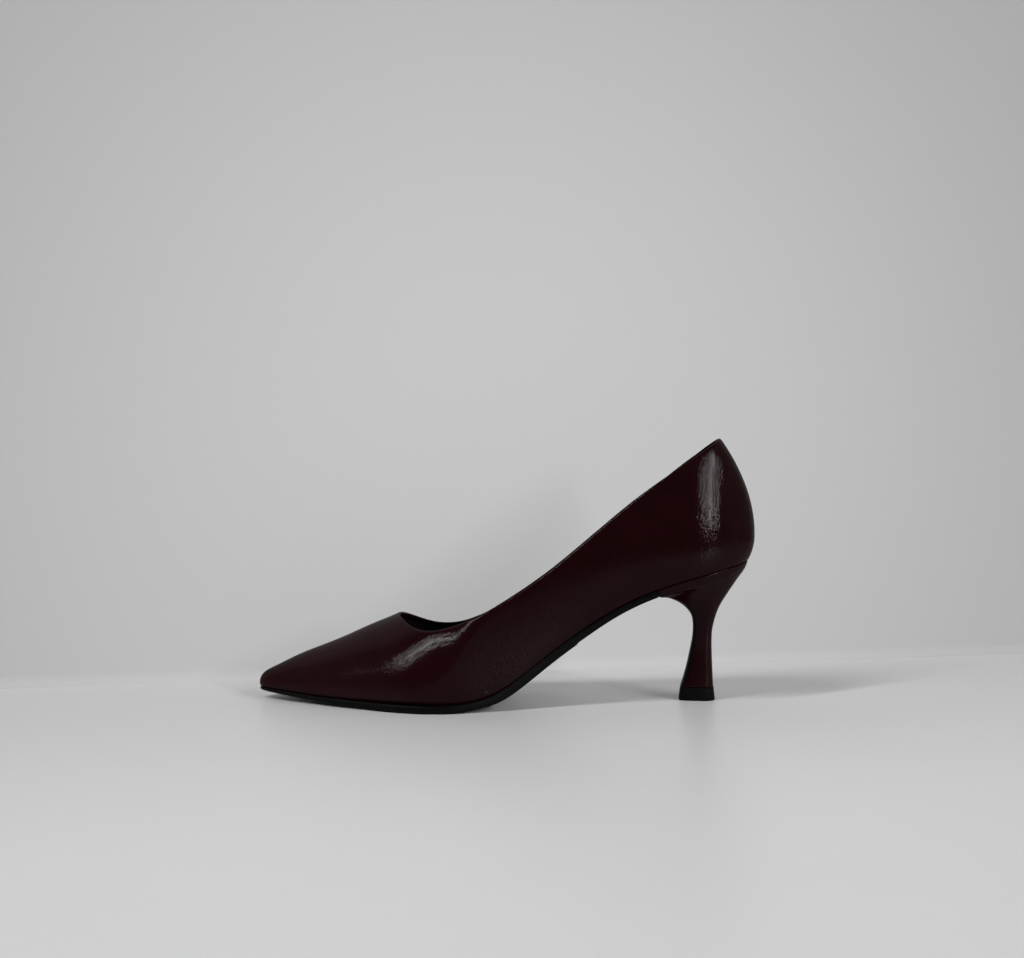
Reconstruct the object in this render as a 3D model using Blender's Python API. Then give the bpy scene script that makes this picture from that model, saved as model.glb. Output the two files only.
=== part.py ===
"""A left court shoe with a pointed toe and a spool heel, as five solids.

The shoe stands on its sole. +X runs from toe to heel, +Z is up and -Y is the outer side.
The origin is on the floor, midway along and across the shoe. The tables are in millimetres.
"""

import bmesh
import bpy
import numpy as np

MM = 0.001
SMALL = 1e-6
SHARP_ANGLE = np.radians(40)

# Whole shoe
LENGTH = 252.8
TOE_X = -LENGTH / 2
BACK_X = LENGTH / 2
HEEL_LINE_Y = 4.5
VAMP_POINT_X = -54.7
BREAST_X = 74.6

# Materials' thickness and the gap that is kept between curved pieces
WALL = 1.8
GAP = 0.3
INSOLE_THICKNESS = 2.4

# Ground contact of the forepart
FLAT_FRONT_X = -57.0
FLAT_BACK_X = -24.0
TOE_SPRING = 4.4
SPRING_POWER = 1.35
TREAD_END_X = 35.0
TREAD_STEP = 0.5
EDGE_BEVEL = 0.7

# How far the sole's edge stands out from the feather, at places along the shoe
SOLE_OUTSET = (
    (TOE_X, -95.0, -60.0, -40.0, -24.0, 0.0, 20.0, BREAST_X),
    (0.7, 1.0, 2.0, 2.6, 2.4, 1.2, 0.5, 0.1),
)

# Below the widest line the wall tucks in by this power of the way down
TUCK_POWER = 2.3

# The back of the shoe closes as a superellipse, and its back curve leans forward with height
CLOSE_FROM_X = 60.0
CLOSE_POWER = 3.4
BACK_LEAN = 0.00903
BACK_LEAN_POWER = 1.95
LEAN_FROM_X = 10.0
LEAN_FULL_X = 112.0
LEAN_ROUNDS = 40

# One row for each section of the last, by its distance behind the toe tip.
# middle: side offset of the ridge from the heel's line. lateral, medial: from the middle out to
# the widest line. rise: widest line above the feather. tuck: feather inside the widest line.
# ridge: top of the section above the feather, which the opening cuts off behind the vamp point.
SECTION_COLUMNS = (
    "behind_tip", "middle", "lateral", "medial", "rise_lateral", "rise_medial", "tuck_lateral",
    "tuck_medial", "ridge",
)
SECTIONS = (
    (0.0, 4.0, 0.0, 0.0, 1.9, 1.9, 0.9, 0.9, 1.9),
    (2.0, 4.0, 4.7, 4.6, 2.0, 2.0, 0.9, 0.9, 6.8),
    (10.0, 3.8, 10.4, 9.8, 2.2, 2.2, 1.0, 1.0, 11.6),
    (22.0, 3.5, 17.4, 16.0, 2.6, 2.6, 1.2, 1.2, 17.9),
    (45.0, 2.9, 29.4, 24.7, 3.9, 3.9, 1.5, 1.5, 27.9),
    (60.0, 2.6, 36.0, 28.7, 4.6, 4.6, 1.7, 1.8, 34.8),
    (72.0, 2.2, 41.0, 31.5, 5.1, 5.1, 1.8, 2.0, 39.9),
    (92.0, 1.5, 44.6, 32.8, 8.2, 8.0, 1.9, 2.6, 50.5),
    (100.0, 1.2, 43.8, 32.4, 15.8, 11.0, 1.9, 3.0, 53.5),
    (110.0, 1.0, 41.8, 31.5, 30.0, 17.0, 2.0, 3.8, 59.5),
    (118.0, 0.8, 39.8, 30.6, 37.2, 22.0, 2.4, 4.6, 65.1),
    (127.0, 0.5, 37.6, 29.6, 40.0, 26.0, 2.8, 5.6, 71.0),
    (145.0, 0.2, 34.1, 28.0, 37.0, 28.0, 4.0, 7.2, 76.0),
    (172.0, 0.0, 30.8, 27.0, 27.2, 24.5, 5.6, 7.2, 74.6),
    (200.0, 0.0, 29.8, 28.4, 20.0, 19.2, 4.8, 5.2, 78.0),
    (222.0, 0.0, 29.8, 29.6, 15.6, 15.4, 3.4, 3.6, 87.2),
    (252.8, 0.0, 29.6, 29.6, 12.8, 12.8, 3.4, 3.4, 88.8),
)

# Height of the feather line, where the upper meets sole and heel, and the sole under it
SEAT_COLUMNS = ("x", "feather", "sole")
SEAT = (
    (-126.4, 5.8, 1.6),
    (-116.0, 5.4, 1.8),
    (-95.0, 4.5, 2.2),
    (-70.0, 3.9, 3.1),
    (-45.0, 3.8, 3.8),
    (-26.0, 3.95, 3.95),
    (-14.0, 5.5, 4.0),
    (-4.0, 8.9, 4.9),
    (8.0, 16.5, 5.5),
    (20.0, 25.6, 5.5),
    (38.0, 38.3, 5.3),
    (56.0, 49.1, 4.6),
    (75.0, 57.5, 4.2),
    (98.0, 64.6, 4.0),
    (126.4, 71.7, 4.0),
)

# Height of the topline, front to back, on each side
TOPLINE_COLUMNS = ("x", "lateral", "medial")
TOPLINE = (
    (-54.7, 43.5, 43.5),
    (-48.0, 40.3, 40.1),
    (-41.0, 38.7, 37.4),
    (-32.0, 39.5, 35.9),
    (-22.0, 42.7, 36.9),
    (-8.0, 49.0, 42.4),
    (10.0, 59.8, 53.3),
    (34.0, 77.9, 71.9),
    (58.0, 97.8, 92.5),
    (82.0, 115.5, 111.1),
    (96.0, 124.6, 122.3),
    (112.0, 133.9, 134.35),
)

# Heel sections from the seat down: front and back of each with their heights, half width across,
# and how much of the seat's outline is left in the section, where 0 is the top piece's D shape
HEEL_COLUMNS = ("front_x", "front_z", "back_x", "back_z", "half_width", "seat_share")
HEEL = (
    (75.0, 54.1, 121.6, 67.1, 23.6, 0.95),
    (78.2, 53.1, 118.4, 62.5, 20.4, 0.85),
    (83.0, 51.7, 114.9, 57.5, 16.8, 0.65),
    (88.6, 49.1, 111.1, 51.7, 13.2, 0.40),
    (92.8, 45.5, 107.9, 45.7, 10.2, 0.20),
    (94.9, 41.7, 106.2, 40.3, 8.4, 0.05),
    (95.4, 37.0, 105.2, 36.0, 7.5, 0.0),
    (95.1, 31.5, 104.8, 31.0, 7.1, 0.0),
    (93.8, 24.5, 104.8, 24.5, 7.1, 0.0),
    (91.9, 16.0, 105.1, 16.0, 7.5, 0.0),
    (89.2, 6.8, 105.5, 6.8, 8.1, 0.0),
)
TOP_PIECE_COLUMNS = ("z", "front_x", "back_x", "half_width")
TOP_PIECE = (
    (6.5, 88.9, 105.7, 8.2),
    (0.0, 88.0, 106.4, 8.6),
)

# The heel's foot is turned in plan against its seat, so that its front is edge on from the side
HEEL_TURN = np.radians(-8.0)
HEEL_INSET = 0.1

# The top piece's D shape: widest place along it, angle of its front corner and its squareness
D_CENTRE = 0.45
D_CORNER = 0.62 * np.pi
D_FRONT_POWER = 5.0
D_BACK_POWER = 3.2

# How finely the pieces are faceted
TOE_STEPS = 17
THROAT_STEPS = 7
THROAT_LENGTH = 24.0
BODY_STEPS = 18
BACK_FROM_X = 92.0
BACK_STEPS = 10
LOWER_LEVELS = 4
UPPER_LEVELS = 8
HEEL_FRONT_STEPS = 3
HEEL_SIDE_STEPS = 11


def column(rows, names, name):
    """One named column of a table."""
    return np.array([row[names.index(name)] for row in rows])


def smooth(keys, values, at):
    """A natural cubic spline through a table's points, straight beyond its ends."""
    count = len(keys)
    step = np.diff(keys)
    rise = np.diff(values) / step
    matrix = np.eye(count)
    right = np.zeros(count)
    for i in range(1, count - 1):
        matrix[i, i - 1:i + 2] = step[i - 1], 2 * (step[i - 1] + step[i]), step[i]
        right[i] = 6 * (rise[i] - rise[i - 1])
    bend = np.linalg.solve(matrix, right)
    at = np.asarray(at, float)
    inside = np.clip(at, keys[0], keys[-1])
    i = np.clip(np.searchsorted(keys, inside) - 1, 0, count - 2)
    after = inside - keys[i]
    slope = rise[i] - step[i] * (2 * bend[i] + bend[i + 1]) / 6
    cubic = (bend[i + 1] - bend[i]) / (6 * step[i])
    value = values[i] + after * (slope + after * (bend[i] / 2 + after * cubic))
    end_slope = slope + after * (bend[i] + 3 * after * cubic)
    return value + (at - inside) * end_slope


def section(name, x):
    """A column of the sections at x, splined over the root of the distance behind the tip."""
    behind = column(SECTIONS, SECTION_COLUMNS, "behind_tip")
    values = column(SECTIONS, SECTION_COLUMNS, name)
    return smooth(np.sqrt(behind), values, np.sqrt(np.clip(x - TOE_X, 0, None)))


def seat(name, x):
    """A column of the feather and sole table at x."""
    return smooth(column(SEAT, SEAT_COLUMNS, "x"), column(SEAT, SEAT_COLUMNS, name), x)


def sided(turn, lateral, medial):
    """Chooses the outer side's value for turns above 0 and the inner side's below."""
    return np.where(turn >= 0, lateral, medial)


def turn_at(x):
    """The turn of a station: 0 at the toe tip, 1 at the back, evenly eased at both ends."""
    return np.arccos(np.clip(1 - 2 * (x - TOE_X) / LENGTH, -1, 1)) / np.pi


def widest_line(turn):
    """Plan position of the widest line. Turns run 0 to 1 down the outer side, 0 to -1 the inner."""
    turn = (np.asarray(turn, float) + 1) % 2 - 1
    x = TOE_X + LENGTH * (1 - np.cos(np.pi * turn)) / 2
    closing = np.clip((x - CLOSE_FROM_X) / (BACK_X - CLOSE_FROM_X), 0, 1)
    width = sided(turn, -section("lateral", x), section("medial", x))
    width = width * np.sqrt(1 - closing**CLOSE_POWER)
    return np.stack([x, section("middle", x) + width], -1)


def outward(turn):
    """Unit plan normal of the widest line."""
    reach = 1e-4
    along = widest_line(turn + reach) - widest_line(turn - reach)
    normal = np.stack([along[..., 1], -along[..., 0]], -1)
    return normal / np.linalg.norm(normal, axis=-1, keepdims=True)


def feather_line(turn, outset=0.0):
    """Plan position of the feather, the lower edge of the upper, moved out by outset."""
    line = widest_line(turn)
    tuck = sided(turn, section("tuck_lateral", line[..., 0]), section("tuck_medial", line[..., 0]))
    return line - outward(turn) * (tuck - outset)[..., None]


def topline_height(turn, x):
    """Height of the topline at x on the turn's side."""
    keys = column(TOPLINE, TOPLINE_COLUMNS, "x")
    lateral = smooth(keys, column(TOPLINE, TOPLINE_COLUMNS, "lateral"), x)
    medial = smooth(keys, column(TOPLINE, TOPLINE_COLUMNS, "medial"), x)
    return sided(turn, lateral, medial)


def widest_rise(turn, x):
    """Height of the widest line above the feather at x on the turn's side."""
    return sided(turn, section("rise_lateral", x), section("rise_medial", x))


def lean(x, above):
    """Forward shift of the wall at a height above the widest line."""
    share = np.clip((x - LEAN_FROM_X) / (LEAN_FULL_X - LEAN_FROM_X), 0, 1)
    eased = share * share * (3 - 2 * share)
    return -BACK_LEAN * np.clip(above, 0, None)**BACK_LEAN_POWER * eased


def top_angle(turn):
    """Section angle at which each rib ends: a quarter turn at the ridge, less at the topline."""
    x = widest_line(turn)[..., 0]
    rise = widest_rise(turn, x)
    widest_z = seat("feather", x) + rise
    crown = np.maximum(section("ridge", x) - rise, SMALL)
    top = topline_height(turn, x)
    for _ in range(LEAN_ROUNDS):
        top = topline_height(turn, x + lean(x, top - widest_z))
    share = np.clip((top - widest_z) / crown, 0, 1)
    return np.where(x > VAMP_POINT_X, np.arcsin(share), np.pi / 2)


def skin(turn, level):
    """Outer face of the upper. Levels: -1 feather, 0 widest line, 1 ridge or topline.

    Below the widest line the wall curves in as a parabola. Above it each section is part of an
    ellipse about the middle, and towards the back the ribs lean forward with height.
    """
    turn, level = np.broadcast_arrays(np.asarray(turn, float), np.asarray(level, float))
    line = widest_line(turn)
    foot = feather_line(turn)
    x = line[..., 0]
    middle = section("middle", x)
    rise = widest_rise(turn, x)
    widest_z = seat("feather", x) + rise
    down = np.clip(-level, 0, 1)
    angle = top_angle(turn) * np.clip(level, 0, 1)
    above = (section("ridge", x) - rise) * np.sin(angle)
    low = line + (foot - line) * (down**TUCK_POWER)[..., None]
    low_z = widest_z + (seat("feather", foot[..., 0]) - widest_z) * down
    across = middle + (line[..., 1] - middle) * np.cos(angle)
    high = level > 0
    return np.stack([
        np.where(high, x + lean(x, above), low[..., 0]),
        np.where(high, across, low[..., 1]) + HEEL_LINE_Y,
        np.where(high, widest_z + above, low_z),
    ], -1)


def sole_bottom(x):
    """Underside of the outsole: toe spring, flat forepart, arch and the step behind the tread."""
    forward = np.clip(FLAT_FRONT_X - x, 0, None) / (FLAT_FRONT_X - TOE_X)
    spring = TOE_SPRING * forward**SPRING_POWER
    arch = np.maximum(seat("feather", x) - seat("sole", x), 0)
    arch = arch + np.where(x > TREAD_END_X, TREAD_STEP, 0)
    return np.where(x < FLAT_BACK_X, spring, arch)


def upper_stations():
    """Stations along one side, closer at the toe, behind the vamp point and at the back."""
    ease = 1.8
    toe = TOE_X + (VAMP_POINT_X - TOE_X) * np.linspace(0, 1, TOE_STEPS + 1)**ease
    throat_end = VAMP_POINT_X + THROAT_LENGTH
    throat = VAMP_POINT_X + THROAT_LENGTH * np.linspace(0, 1, THROAT_STEPS + 1)[1:]**ease
    body = np.linspace(throat_end, BACK_FROM_X, BODY_STEPS + 1)[1:]
    back = BACK_X - (BACK_X - BACK_FROM_X) * np.linspace(1, 0, BACK_STEPS + 1)[1:]**ease
    return turn_at(np.concatenate([toe, throat, body, back]))


def new_material(name, colour, roughness, metallic=0.0):
    """A plain Principled material."""
    material = bpy.data.materials.new(name)
    material.use_nodes = True
    shader = material.node_tree.nodes["Principled BSDF"]
    shader.inputs["Base Color"].default_value = (*colour, 1)
    shader.inputs["Roughness"].default_value = roughness
    shader.inputs["Metallic"].default_value = metallic
    return material


def new_object(name, bm, material, parent):
    """Closes a bmesh into a named object with smooth shading and sharp edges."""
    bmesh.ops.remove_doubles(bm, verts=bm.verts, dist=1e-7)
    bmesh.ops.dissolve_degenerate(bm, dist=1e-8, edges=bm.edges)
    bmesh.ops.triangulate(bm, faces=bm.faces)
    bmesh.ops.recalc_face_normals(bm, faces=bm.faces)
    mesh = bpy.data.meshes.new(name)
    bm.to_mesh(mesh)
    bm.free()
    mesh.shade_smooth()
    mesh.set_sharp_from_angle(angle=SHARP_ANGLE)
    mesh.materials.append(material)
    item = bpy.data.objects.new(name, mesh)
    item.parent = parent
    bpy.context.collection.objects.link(item)
    return item


def add_grid(bm, rows, close=False):
    """Adds rows of points, in millimetres, and the faces between them, and returns the vertices."""
    verts = [[bm.verts.new(point * MM) for point in row] for row in rows]
    for low, high in zip(verts[:-1], verts[1:]):
        last = len(low) if close else len(low) - 1
        for i in range(last):
            j = (i + 1) % len(low)
            bm.faces.new((low[i], low[j], high[j], high[i]))
    return verts


def make_upper(material, parent):
    """One hollow leather shell, open at the collar and throat and along the feather."""
    stations = upper_stations()
    turn = np.concatenate([stations, -stations[-2:0:-1]])
    lower = np.linspace(-1, 0, LOWER_LEVELS + 1)[:-1]
    levels = np.concatenate([lower, np.linspace(0, 1, UPPER_LEVELS + 1)])
    outer = skin(turn[None, :], levels[:, None])

    normals = grid_normals(outer)
    normals[levels < 0, :, 2] = 0
    normals /= np.linalg.norm(normals, axis=-1, keepdims=True)
    inner = outer - normals * WALL

    bm = bmesh.new()
    outside = add_grid(bm, outer, close=True)
    inside = add_grid(bm, inner, close=True)
    count = len(turn)
    open_top = widest_line(turn)[:, 0] > VAMP_POINT_X + SMALL
    for i in range(count):
        j = (i + 1) % count
        bm.faces.new((outside[0][i], outside[0][j], inside[0][j], inside[0][i]))
        if open_top[i] or open_top[j]:
            bm.faces.new((outside[-1][i], outside[-1][j], inside[-1][j], inside[-1][i]))
    return new_object("upper", bm, material, parent)


def grid_normals(points):
    """Outward unit normals of a grid closed along its rows, shared by points in one place."""
    flat = np.round(points.reshape(-1, 3), 5)
    index = np.unique(flat, axis=0, return_inverse=True)[1].reshape(points.shape[:2])
    along = np.roll(points, -1, axis=1)
    total = np.zeros((index.max() + 1, 3))
    for k in range(len(points) - 1):
        a, b = points[k], along[k]
        c, d = along[k + 1], points[k + 1]
        face = np.cross(c - a, d - b)
        for corner in (index[k], np.roll(index[k], -1), np.roll(index[k + 1], -1), index[k + 1]):
            np.add.at(total, corner, face)
    length = np.linalg.norm(total, axis=1, keepdims=True)
    return (total / np.maximum(length, 1e-12))[index]


def make_plate(name, laterals, medials, material, parent):
    """A closed plate from edge rows, each (outer side points, inner side points), top row first."""
    bm = bmesh.new()
    rows = []
    for lateral, medial in zip(laterals, medials):
        rows.append(np.concatenate([medial[::-1], lateral[1:]]))
    verts = add_grid(bm, rows)
    count = len(rows[0])
    for row in (verts[0], verts[-1]):
        for i in range(count // 2 - 1):
            bm.faces.new((row[i], row[i + 1], row[count - 2 - i], row[count - 1 - i]))
        bm.faces.new(row[count // 2 - 1:count // 2 + 2])
    for high, low in zip(verts[:-1], verts[1:]):
        bm.faces.new((high[0], low[0], low[-1], high[-1]))
    return new_object(name, bm, material, parent)


def edge(turn, outset, height, limit_x=None):
    """Points along the feather moved out by outset, at the height that a function gives at x."""
    line = feather_line(turn, outset)
    x = line[..., 0] if limit_x is None else np.minimum(line[..., 0], limit_x)
    return np.stack([x, line[..., 1] + HEEL_LINE_Y, height(x)], -1)


def make_insole(material, parent):
    """The board inside the feather, toe to heel, lying on sole and heel."""
    stations = upper_stations()
    inset = -(WALL + GAP)

    def bottom(x):
        return seat("feather", x)

    def top(x):
        return seat("feather", x) + INSOLE_THICKNESS

    sides = []
    for sign in (1, -1):
        sides.append([edge(sign * stations, inset, height) for height in (top, bottom)])
    return make_plate("insole", sides[0], sides[1], material, parent)


def make_outsole(material, parent):
    """The moulded sole from toe to heel breast, with its tread step."""
    stations = upper_stations()
    x = widest_line(stations)[:, 0]
    inside = x[x < BREAST_X - 2]
    step = [TREAD_END_X, TREAD_END_X + TREAD_STEP, BREAST_X]
    x = np.sort(np.concatenate([inside, step]))
    turn = turn_at(x)
    outset = np.interp(x, *SOLE_OUTSET)

    def top(x):
        return seat("feather", x) - GAP

    def bevel(x):
        return sole_bottom(x) + EDGE_BEVEL

    sides = []
    for sign in (1, -1):
        rows = [edge(sign * turn, outset, top, BREAST_X)]
        rows.append(edge(sign * turn, outset, bevel, BREAST_X))
        rows.append(edge(sign * turn, outset - EDGE_BEVEL, sole_bottom, BREAST_X))
        sides.append(rows)
    return make_plate("outsole", sides[0], sides[1], material, parent)


def d_shape(angle, side):
    """The top piece's outline, 0 to 1 front to back and half a width each side.

    The front is a superellipse squared off across the breast, and the back is round.
    """
    front = np.cos(angle) < 0
    power = np.where(front, 2 / D_FRONT_POWER, 2 / D_BACK_POWER)
    reach = np.where(front, -D_CENTRE, 1 - D_CENTRE)
    along = D_CENTRE + reach * np.abs(np.cos(angle))**power
    return along, side * np.abs(np.sin(angle))**power


def turned(x, y, middle, share=1.0):
    """Turns plan points about the heel's middle by a share of the heel's turn."""
    along = x - middle
    across = y - HEEL_LINE_Y
    cosine = np.cos(HEEL_TURN * share)
    sine = np.sin(HEEL_TURN * share)
    return middle + along * cosine - across * sine, HEEL_LINE_Y + along * sine + across * cosine


def heel_rows(side):
    """The heel's section rows on one side, from the seat to the top piece."""
    front_share = np.linspace(0, 1, HEEL_FRONT_STEPS + 1)[:-1]
    start = turn_at(BREAST_X + GAP)
    around = start + (1 - start) * np.linspace(0, 1, HEEL_SIDE_STEPS + 1)
    rim = feather_line(side * around, -HEEL_INSET)
    rim_x = np.concatenate([np.full(HEEL_FRONT_STEPS + 1, BREAST_X + GAP), rim[1:, 0]])
    rim_y = np.concatenate([rim[0, 1] * front_share, rim[:, 1]])
    top = np.stack([rim_x, rim_y + HEEL_LINE_Y, seat("feather", rim_x) - GAP], -1)

    along = (rim_x - rim_x[0]) / (rim_x[-1] - rim_x[0])
    across = rim_y / np.abs(rim_y).max()
    angle = np.concatenate([
        np.pi + (D_CORNER - np.pi) * front_share,
        D_CORNER * np.linspace(1, 0, HEEL_SIDE_STEPS + 1),
    ])
    d_along, d_across = d_shape(angle, -side)
    rows = [top]
    for row in HEEL:
        cut = dict(zip(HEEL_COLUMNS, row))
        share = cut["seat_share"]
        forward = share * along + (1 - share) * d_along
        sideways = share * across + (1 - share) * d_across
        x = cut["front_x"] + (cut["back_x"] - cut["front_x"]) * forward
        y = cut["half_width"] * sideways + HEEL_LINE_Y
        x, y = turned(x, y, (cut["front_x"] + cut["back_x"]) / 2, 1 - share)
        z = cut["front_z"] + (cut["back_z"] - cut["front_z"]) * forward
        rows.append(np.stack([x, y, z], -1))
    return rows


def make_heel(material, parent):
    """The covered spool heel, waisted between the seat and the top piece."""
    sides = [[row[::-1] for row in heel_rows(side)] for side in (1, -1)]
    return make_plate("heel", sides[0], sides[1], material, parent)


def make_top_piece(material, parent):
    """The wearing block, a D in plan, a little larger at the floor."""
    angle = np.pi * np.linspace(0, 1, HEEL_FRONT_STEPS + HEEL_SIDE_STEPS + 1)
    sides = []
    for side in (-1, 1):
        along, across = d_shape(angle, side)
        rows = []
        for row in TOP_PIECE:
            cut = dict(zip(TOP_PIECE_COLUMNS, row))
            x = cut["front_x"] + (cut["back_x"] - cut["front_x"]) * along
            y = cut["half_width"] * across + HEEL_LINE_Y
            x, y = turned(x, y, (cut["front_x"] + cut["back_x"]) / 2)
            rows.append(np.stack([x, y, np.full_like(x, cut["z"])], -1))
        sides.append(rows)
    return make_plate("top_piece", sides[0], sides[1], material, parent)


def main():
    """Clears the scene and builds the shoe under one empty."""
    for item in list(bpy.data.objects):
        bpy.data.objects.remove(item)
    shoe = bpy.data.objects.new("shoe", None)
    bpy.context.collection.objects.link(shoe)
    leather = new_material("burgundy_leather", (0.035, 0.005, 0.007), 0.3)
    heel_leather = new_material("heel_cover_leather", (0.035, 0.005, 0.007), 0.3)
    board = new_material("insole_board", (0.02, 0.018, 0.018), 0.8)
    sole = new_material("moulded_sole", (0.012, 0.012, 0.013), 0.5)
    rubber = new_material("top_piece_rubber", (0.008, 0.008, 0.009), 0.55)
    make_upper(leather, shoe)
    make_insole(board, shoe)
    make_outsole(sole, shoe)
    make_heel(heel_leather, shoe)
    make_top_piece(rubber, shoe)


main()
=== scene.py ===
# %% [markdown]
# A court shoe with a pointed toe and a spool heel, in burgundy leather.
# The imported CAD model is loaded first. The script then makes each piece again as a finer surface
# from the same tables of the last, the foot-shaped block that a shoe is built on. Lengths in the
# tables are millimetres, and +X runs from toe to heel.

import bmesh
import bpy
import numpy as np
from mathutils import Matrix, Vector


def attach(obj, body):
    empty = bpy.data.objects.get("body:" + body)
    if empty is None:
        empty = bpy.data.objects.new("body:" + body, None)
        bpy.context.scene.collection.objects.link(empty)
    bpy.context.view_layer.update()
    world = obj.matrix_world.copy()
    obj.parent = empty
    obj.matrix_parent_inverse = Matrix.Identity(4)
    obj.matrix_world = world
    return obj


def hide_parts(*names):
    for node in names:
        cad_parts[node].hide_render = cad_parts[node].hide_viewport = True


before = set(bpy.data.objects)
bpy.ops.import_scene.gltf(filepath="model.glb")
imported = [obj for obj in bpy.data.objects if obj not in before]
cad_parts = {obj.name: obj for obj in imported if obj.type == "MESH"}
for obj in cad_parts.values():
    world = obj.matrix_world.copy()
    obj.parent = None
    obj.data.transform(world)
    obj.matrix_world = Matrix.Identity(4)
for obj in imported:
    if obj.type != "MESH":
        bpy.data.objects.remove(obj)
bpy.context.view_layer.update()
MM = 0.001
SMALL = 1e-6

# %% [markdown]
# The camera stands level, 0.62 m in front of the shoe's outer side and a little above its ankle
# line. The photograph's perspective gives this place: the toe, the heel and both edges of the
# topline only line up from here. The lens is a normal one, so the shoe is hardly foreshortened.

# %% Camera
FRAME_WIDTH = 1024
FOCAL_PIXELS = 1215.0
SENSOR_WIDTH = 36.0
CAMERA_PLACE = (0.003, -0.6155, 0.1118)


def add_camera():
    """A level camera that looks along +Y. Its lens is sensor width times focal length over frame."""
    data = bpy.data.cameras.new("camera")
    data.sensor_fit = "HORIZONTAL"
    data.sensor_width = SENSOR_WIDTH
    data.lens = SENSOR_WIDTH * FOCAL_PIXELS / FRAME_WIDTH
    item = bpy.data.objects.new("camera", data)
    item.location = CAMERA_PLACE
    item.rotation_euler = (np.pi / 2, 0, 0)
    bpy.context.collection.objects.link(item)
    bpy.context.scene.camera = item
    return data


lens = add_camera().lens
print("Lens in millimetres:", round(lens, 2))

# %% [markdown]
# A mesh here is a grid of points worked out with numpy: one array holds every row and column of a
# surface. This step turns such grids into one Blender mesh, welds the points that meet, and turns
# all faces outward. Working on whole arrays is quick, and the shape stays a formula that is easy
# to read and to change.

# %% Grids of points into meshes
WELD = 2e-6


def grid_faces(rows, columns, closed, first=0):
    """Four corner numbers for each cell of a grid, rows after rows, closed round if asked."""
    row = np.arange(rows - 1)[:, None] * columns
    column = np.arange(columns if closed else columns - 1)[None, :]
    after = (column + 1) % columns
    cells = np.stack([row + column, row + after, row + columns + after, row + columns + column], -1)
    return cells.reshape(-1, 4) + first


def make_piece(name, grids, material, replaces=(), attributes=None):
    """One welded mesh from grids, each (points in millimetres, closed round or not)."""
    points = []
    faces = []
    first = 0
    for grid, closed in grids:
        rows, columns = grid.shape[:2]
        points.append(grid.reshape(-1, 3) * MM)
        faces.append(grid_faces(rows, columns, closed, first))
        first += rows * columns
    mesh = bpy.data.meshes.new(name)
    mesh.from_pydata(np.concatenate(points), [], np.concatenate(faces).tolist())
    for label, values in (attributes or {}).items():
        attribute = mesh.attributes.new(label, "FLOAT", "POINT")
        attribute.data.foreach_set("value", values.astype(np.float32).ravel())
    bm = bmesh.new()
    bm.from_mesh(mesh)
    bmesh.ops.remove_doubles(bm, verts=bm.verts, dist=WELD)
    bmesh.ops.dissolve_degenerate(bm, dist=1e-8, edges=bm.edges)
    bmesh.ops.recalc_face_normals(bm, faces=bm.faces)
    bm.to_mesh(mesh)
    open_edges = sum(1 for edge in bm.edges if not edge.is_manifold)
    bm.free()
    mesh.shade_smooth()
    mesh.materials.append(material)
    item = bpy.data.objects.new(name, mesh)
    bpy.context.collection.objects.link(item)
    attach(item, "root")
    if replaces:
        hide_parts(*replaces)
    print(name, len(mesh.polygons), "faces,", open_edges, "open edges")
    return item


# %% [markdown]
# The last is the shoe's whole shape, so its tables come first. Each row of the sections is one
# slice across the last: how wide it is on both sides, how high its widest line lies above the
# feather (the edge where upper meets sole), how far the feather is tucked in, and how high the
# ridge is. A natural cubic spline joins the rows. At the toe the slices shrink like the root of
# the distance from the tip, so the spline runs over that root and the toe comes out round.

# %% Tables of the last
LENGTH = 252.8
TOE_X = -LENGTH / 2
BACK_X = LENGTH / 2
HEEL_LINE_Y = 4.5
VAMP_POINT_X = -54.7
BREAST_X = 74.6
SECTION_COLUMNS = (
    "behind_tip", "middle", "lateral", "medial", "rise_lateral", "rise_medial", "tuck_lateral",
    "tuck_medial", "ridge",
)
SECTIONS = (
    (0.0, 4.0, 0.0, 0.0, 1.9, 1.9, 0.9, 0.9, 1.9),
    (2.0, 4.0, 4.7, 4.6, 2.0, 2.0, 0.9, 0.9, 6.8),
    (10.0, 3.8, 10.4, 9.8, 2.2, 2.2, 1.0, 1.0, 11.6),
    (22.0, 3.5, 17.4, 16.0, 2.6, 2.6, 1.2, 1.2, 17.9),
    (45.0, 2.9, 29.4, 24.7, 3.9, 3.9, 1.5, 1.5, 27.9),
    (60.0, 2.6, 36.0, 28.7, 4.6, 4.6, 1.7, 1.8, 34.8),
    (72.0, 2.2, 41.0, 31.5, 5.1, 5.1, 1.8, 2.0, 39.9),
    (92.0, 1.5, 44.6, 32.8, 8.2, 8.0, 1.9, 2.6, 50.5),
    (100.0, 1.2, 43.8, 32.4, 15.8, 11.0, 1.9, 3.0, 53.5),
    (110.0, 1.0, 41.8, 31.5, 30.0, 17.0, 2.0, 3.8, 59.5),
    (118.0, 0.8, 39.8, 30.6, 37.2, 22.0, 2.4, 4.6, 65.1),
    (127.0, 0.5, 37.6, 29.6, 40.0, 26.0, 2.8, 5.6, 71.0),
    (145.0, 0.2, 34.1, 28.0, 37.0, 28.0, 4.0, 7.2, 76.0),
    (172.0, 0.0, 30.8, 27.0, 27.2, 24.5, 5.6, 7.2, 74.6),
    (200.0, 0.0, 29.8, 28.4, 20.0, 19.2, 4.8, 5.2, 78.0),
    (222.0, 0.0, 29.8, 29.6, 15.6, 15.4, 3.4, 3.6, 87.2),
    (252.8, 0.0, 29.6, 29.6, 12.8, 12.8, 3.4, 3.4, 88.8),
)
SEAT_COLUMNS = ("x", "feather", "sole")
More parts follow.
